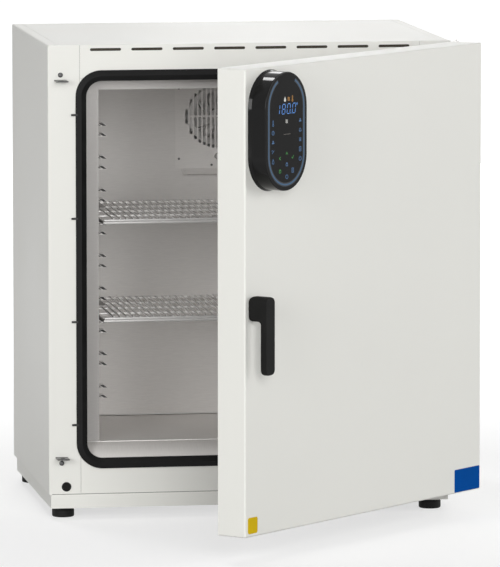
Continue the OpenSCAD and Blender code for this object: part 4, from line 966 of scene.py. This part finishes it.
def light_room():
    """Soft lamps round the object, and a white room."""
    for name, (place, size, watts) in LAMPS.items():
        data = bpy.data.lights.new(name, "AREA")
        data.size = size
        data.energy = watts
        lamp = bpy.data.objects.new(name, data)
        bpy.context.scene.collection.objects.link(lamp)
        back = (Vector(place) - AIM).normalized()
        lamp.matrix_world = facing(back, Vector(place))
    world = bpy.data.worlds.new("studio")
    bpy.context.scene.world = world
    world.use_nodes = True
    tree = world.node_tree
    back = tree.nodes["Background"]
    seen = white_for_eyes(tree)
    strength = tree.nodes.new("ShaderNodeMapRange")
    strength.inputs["To Min"].default_value = AMBIENT
    strength.inputs["To Max"].default_value = 1.0
    tree.links.new(seen, strength.inputs["Value"])
    back.inputs["Color"].default_value = (1, 1, 1, 1)
    tree.links.new(strength.outputs["Result"], back.inputs["Strength"])


def white_for_eyes(tree):
    """1 for camera, glossy and transmission rays, else 0."""
    path = tree.nodes.new("ShaderNodeLightPath")
    total = path.outputs["Is Camera Ray"]
    for kind in ("Is Glossy Ray", "Is Transmission Ray"):
        larger = tree.nodes.new("ShaderNodeMath")
        larger.operation = "MAXIMUM"
        tree.links.new(total, larger.inputs[0])
        tree.links.new(path.outputs[kind], larger.inputs[1])
        total = larger.outputs[0]
    return total


# Floor, and the distances from the object's middle between which it fades from FLOOR_LIFT to white
FLOOR_HALF = 30.0
FLOOR_NEAR = 0.9
FLOOR_FAR = 2.6
FLOOR_LIFT = 0.62
FLOOR_COLOUR = (0.45, 0.45, 0.45)


def lay_floor():
    """Pale floor that keeps the shadow near the object and fades to white further out."""
    work = bmesh.new()
    bmesh.ops.create_grid(work, x_segments=8, y_segments=8, size=FLOOR_HALF)
    mesh = bpy.data.meshes.new("floor")
    work.to_mesh(mesh)
    work.free()
    floor = bpy.data.objects.new("floor", mesh)
    bpy.context.scene.collection.objects.link(floor)
    mat, tree, shader = new_material("pale_floor")
    shader.inputs["Roughness"].default_value = 0.9
    shader.inputs["Specular IOR Level"].default_value = 0.1
    speckle = noise(tree, coordinates(tree), 60.0)
    tree.links.new(ramp(tree, speckle, shade(FLOOR_COLOUR, 0.98), FLOOR_COLOUR), shader.inputs["Base Color"])
    place = tree.nodes.new("ShaderNodeTexCoord")
    length = tree.nodes.new("ShaderNodeVectorMath")
    length.operation = "LENGTH"
    tree.links.new(place.outputs["Object"], length.inputs[0])
    fade = tree.nodes.new("ShaderNodeMapRange")
    fade.inputs["From Min"].default_value = FLOOR_NEAR
    fade.inputs["From Max"].default_value = FLOOR_FAR
    fade.inputs["To Min"].default_value = FLOOR_LIFT
    fade.inputs["To Max"].default_value = 1.0
    tree.links.new(length.outputs["Value"], fade.inputs["Value"])
    seen = tree.nodes.new("ShaderNodeMath")
    seen.operation = "MULTIPLY"
    tree.links.new(fade.outputs["Result"], seen.inputs[0])
    tree.links.new(white_for_eyes(tree), seen.inputs[1])
    shader.inputs["Emission Color"].default_value = (1, 1, 1, 1)
    tree.links.new(seen.outputs[0], shader.inputs["Emission Strength"])
    mesh.materials.append(mat)


bpy.context.scene.view_settings.view_transform = "Standard"
set_camera()
light_room()
lay_floor()
dress_nodes()
light_ring()
display_digits()
display_icons()
front_screws("cover_screw_heads", "cover_screws", 1.5 * MM, "dark_steel")
front_screws("catch_screw_heads", "catch_screws", 2.0 * MM, "dark_steel", "front_frame", 1.25)
gasket_clips()
tab_hoods()
sill_apron()
base_lines()
edge_strips()
rear_screws()
inlet_screws()
rubber_feet()
plug_caps()
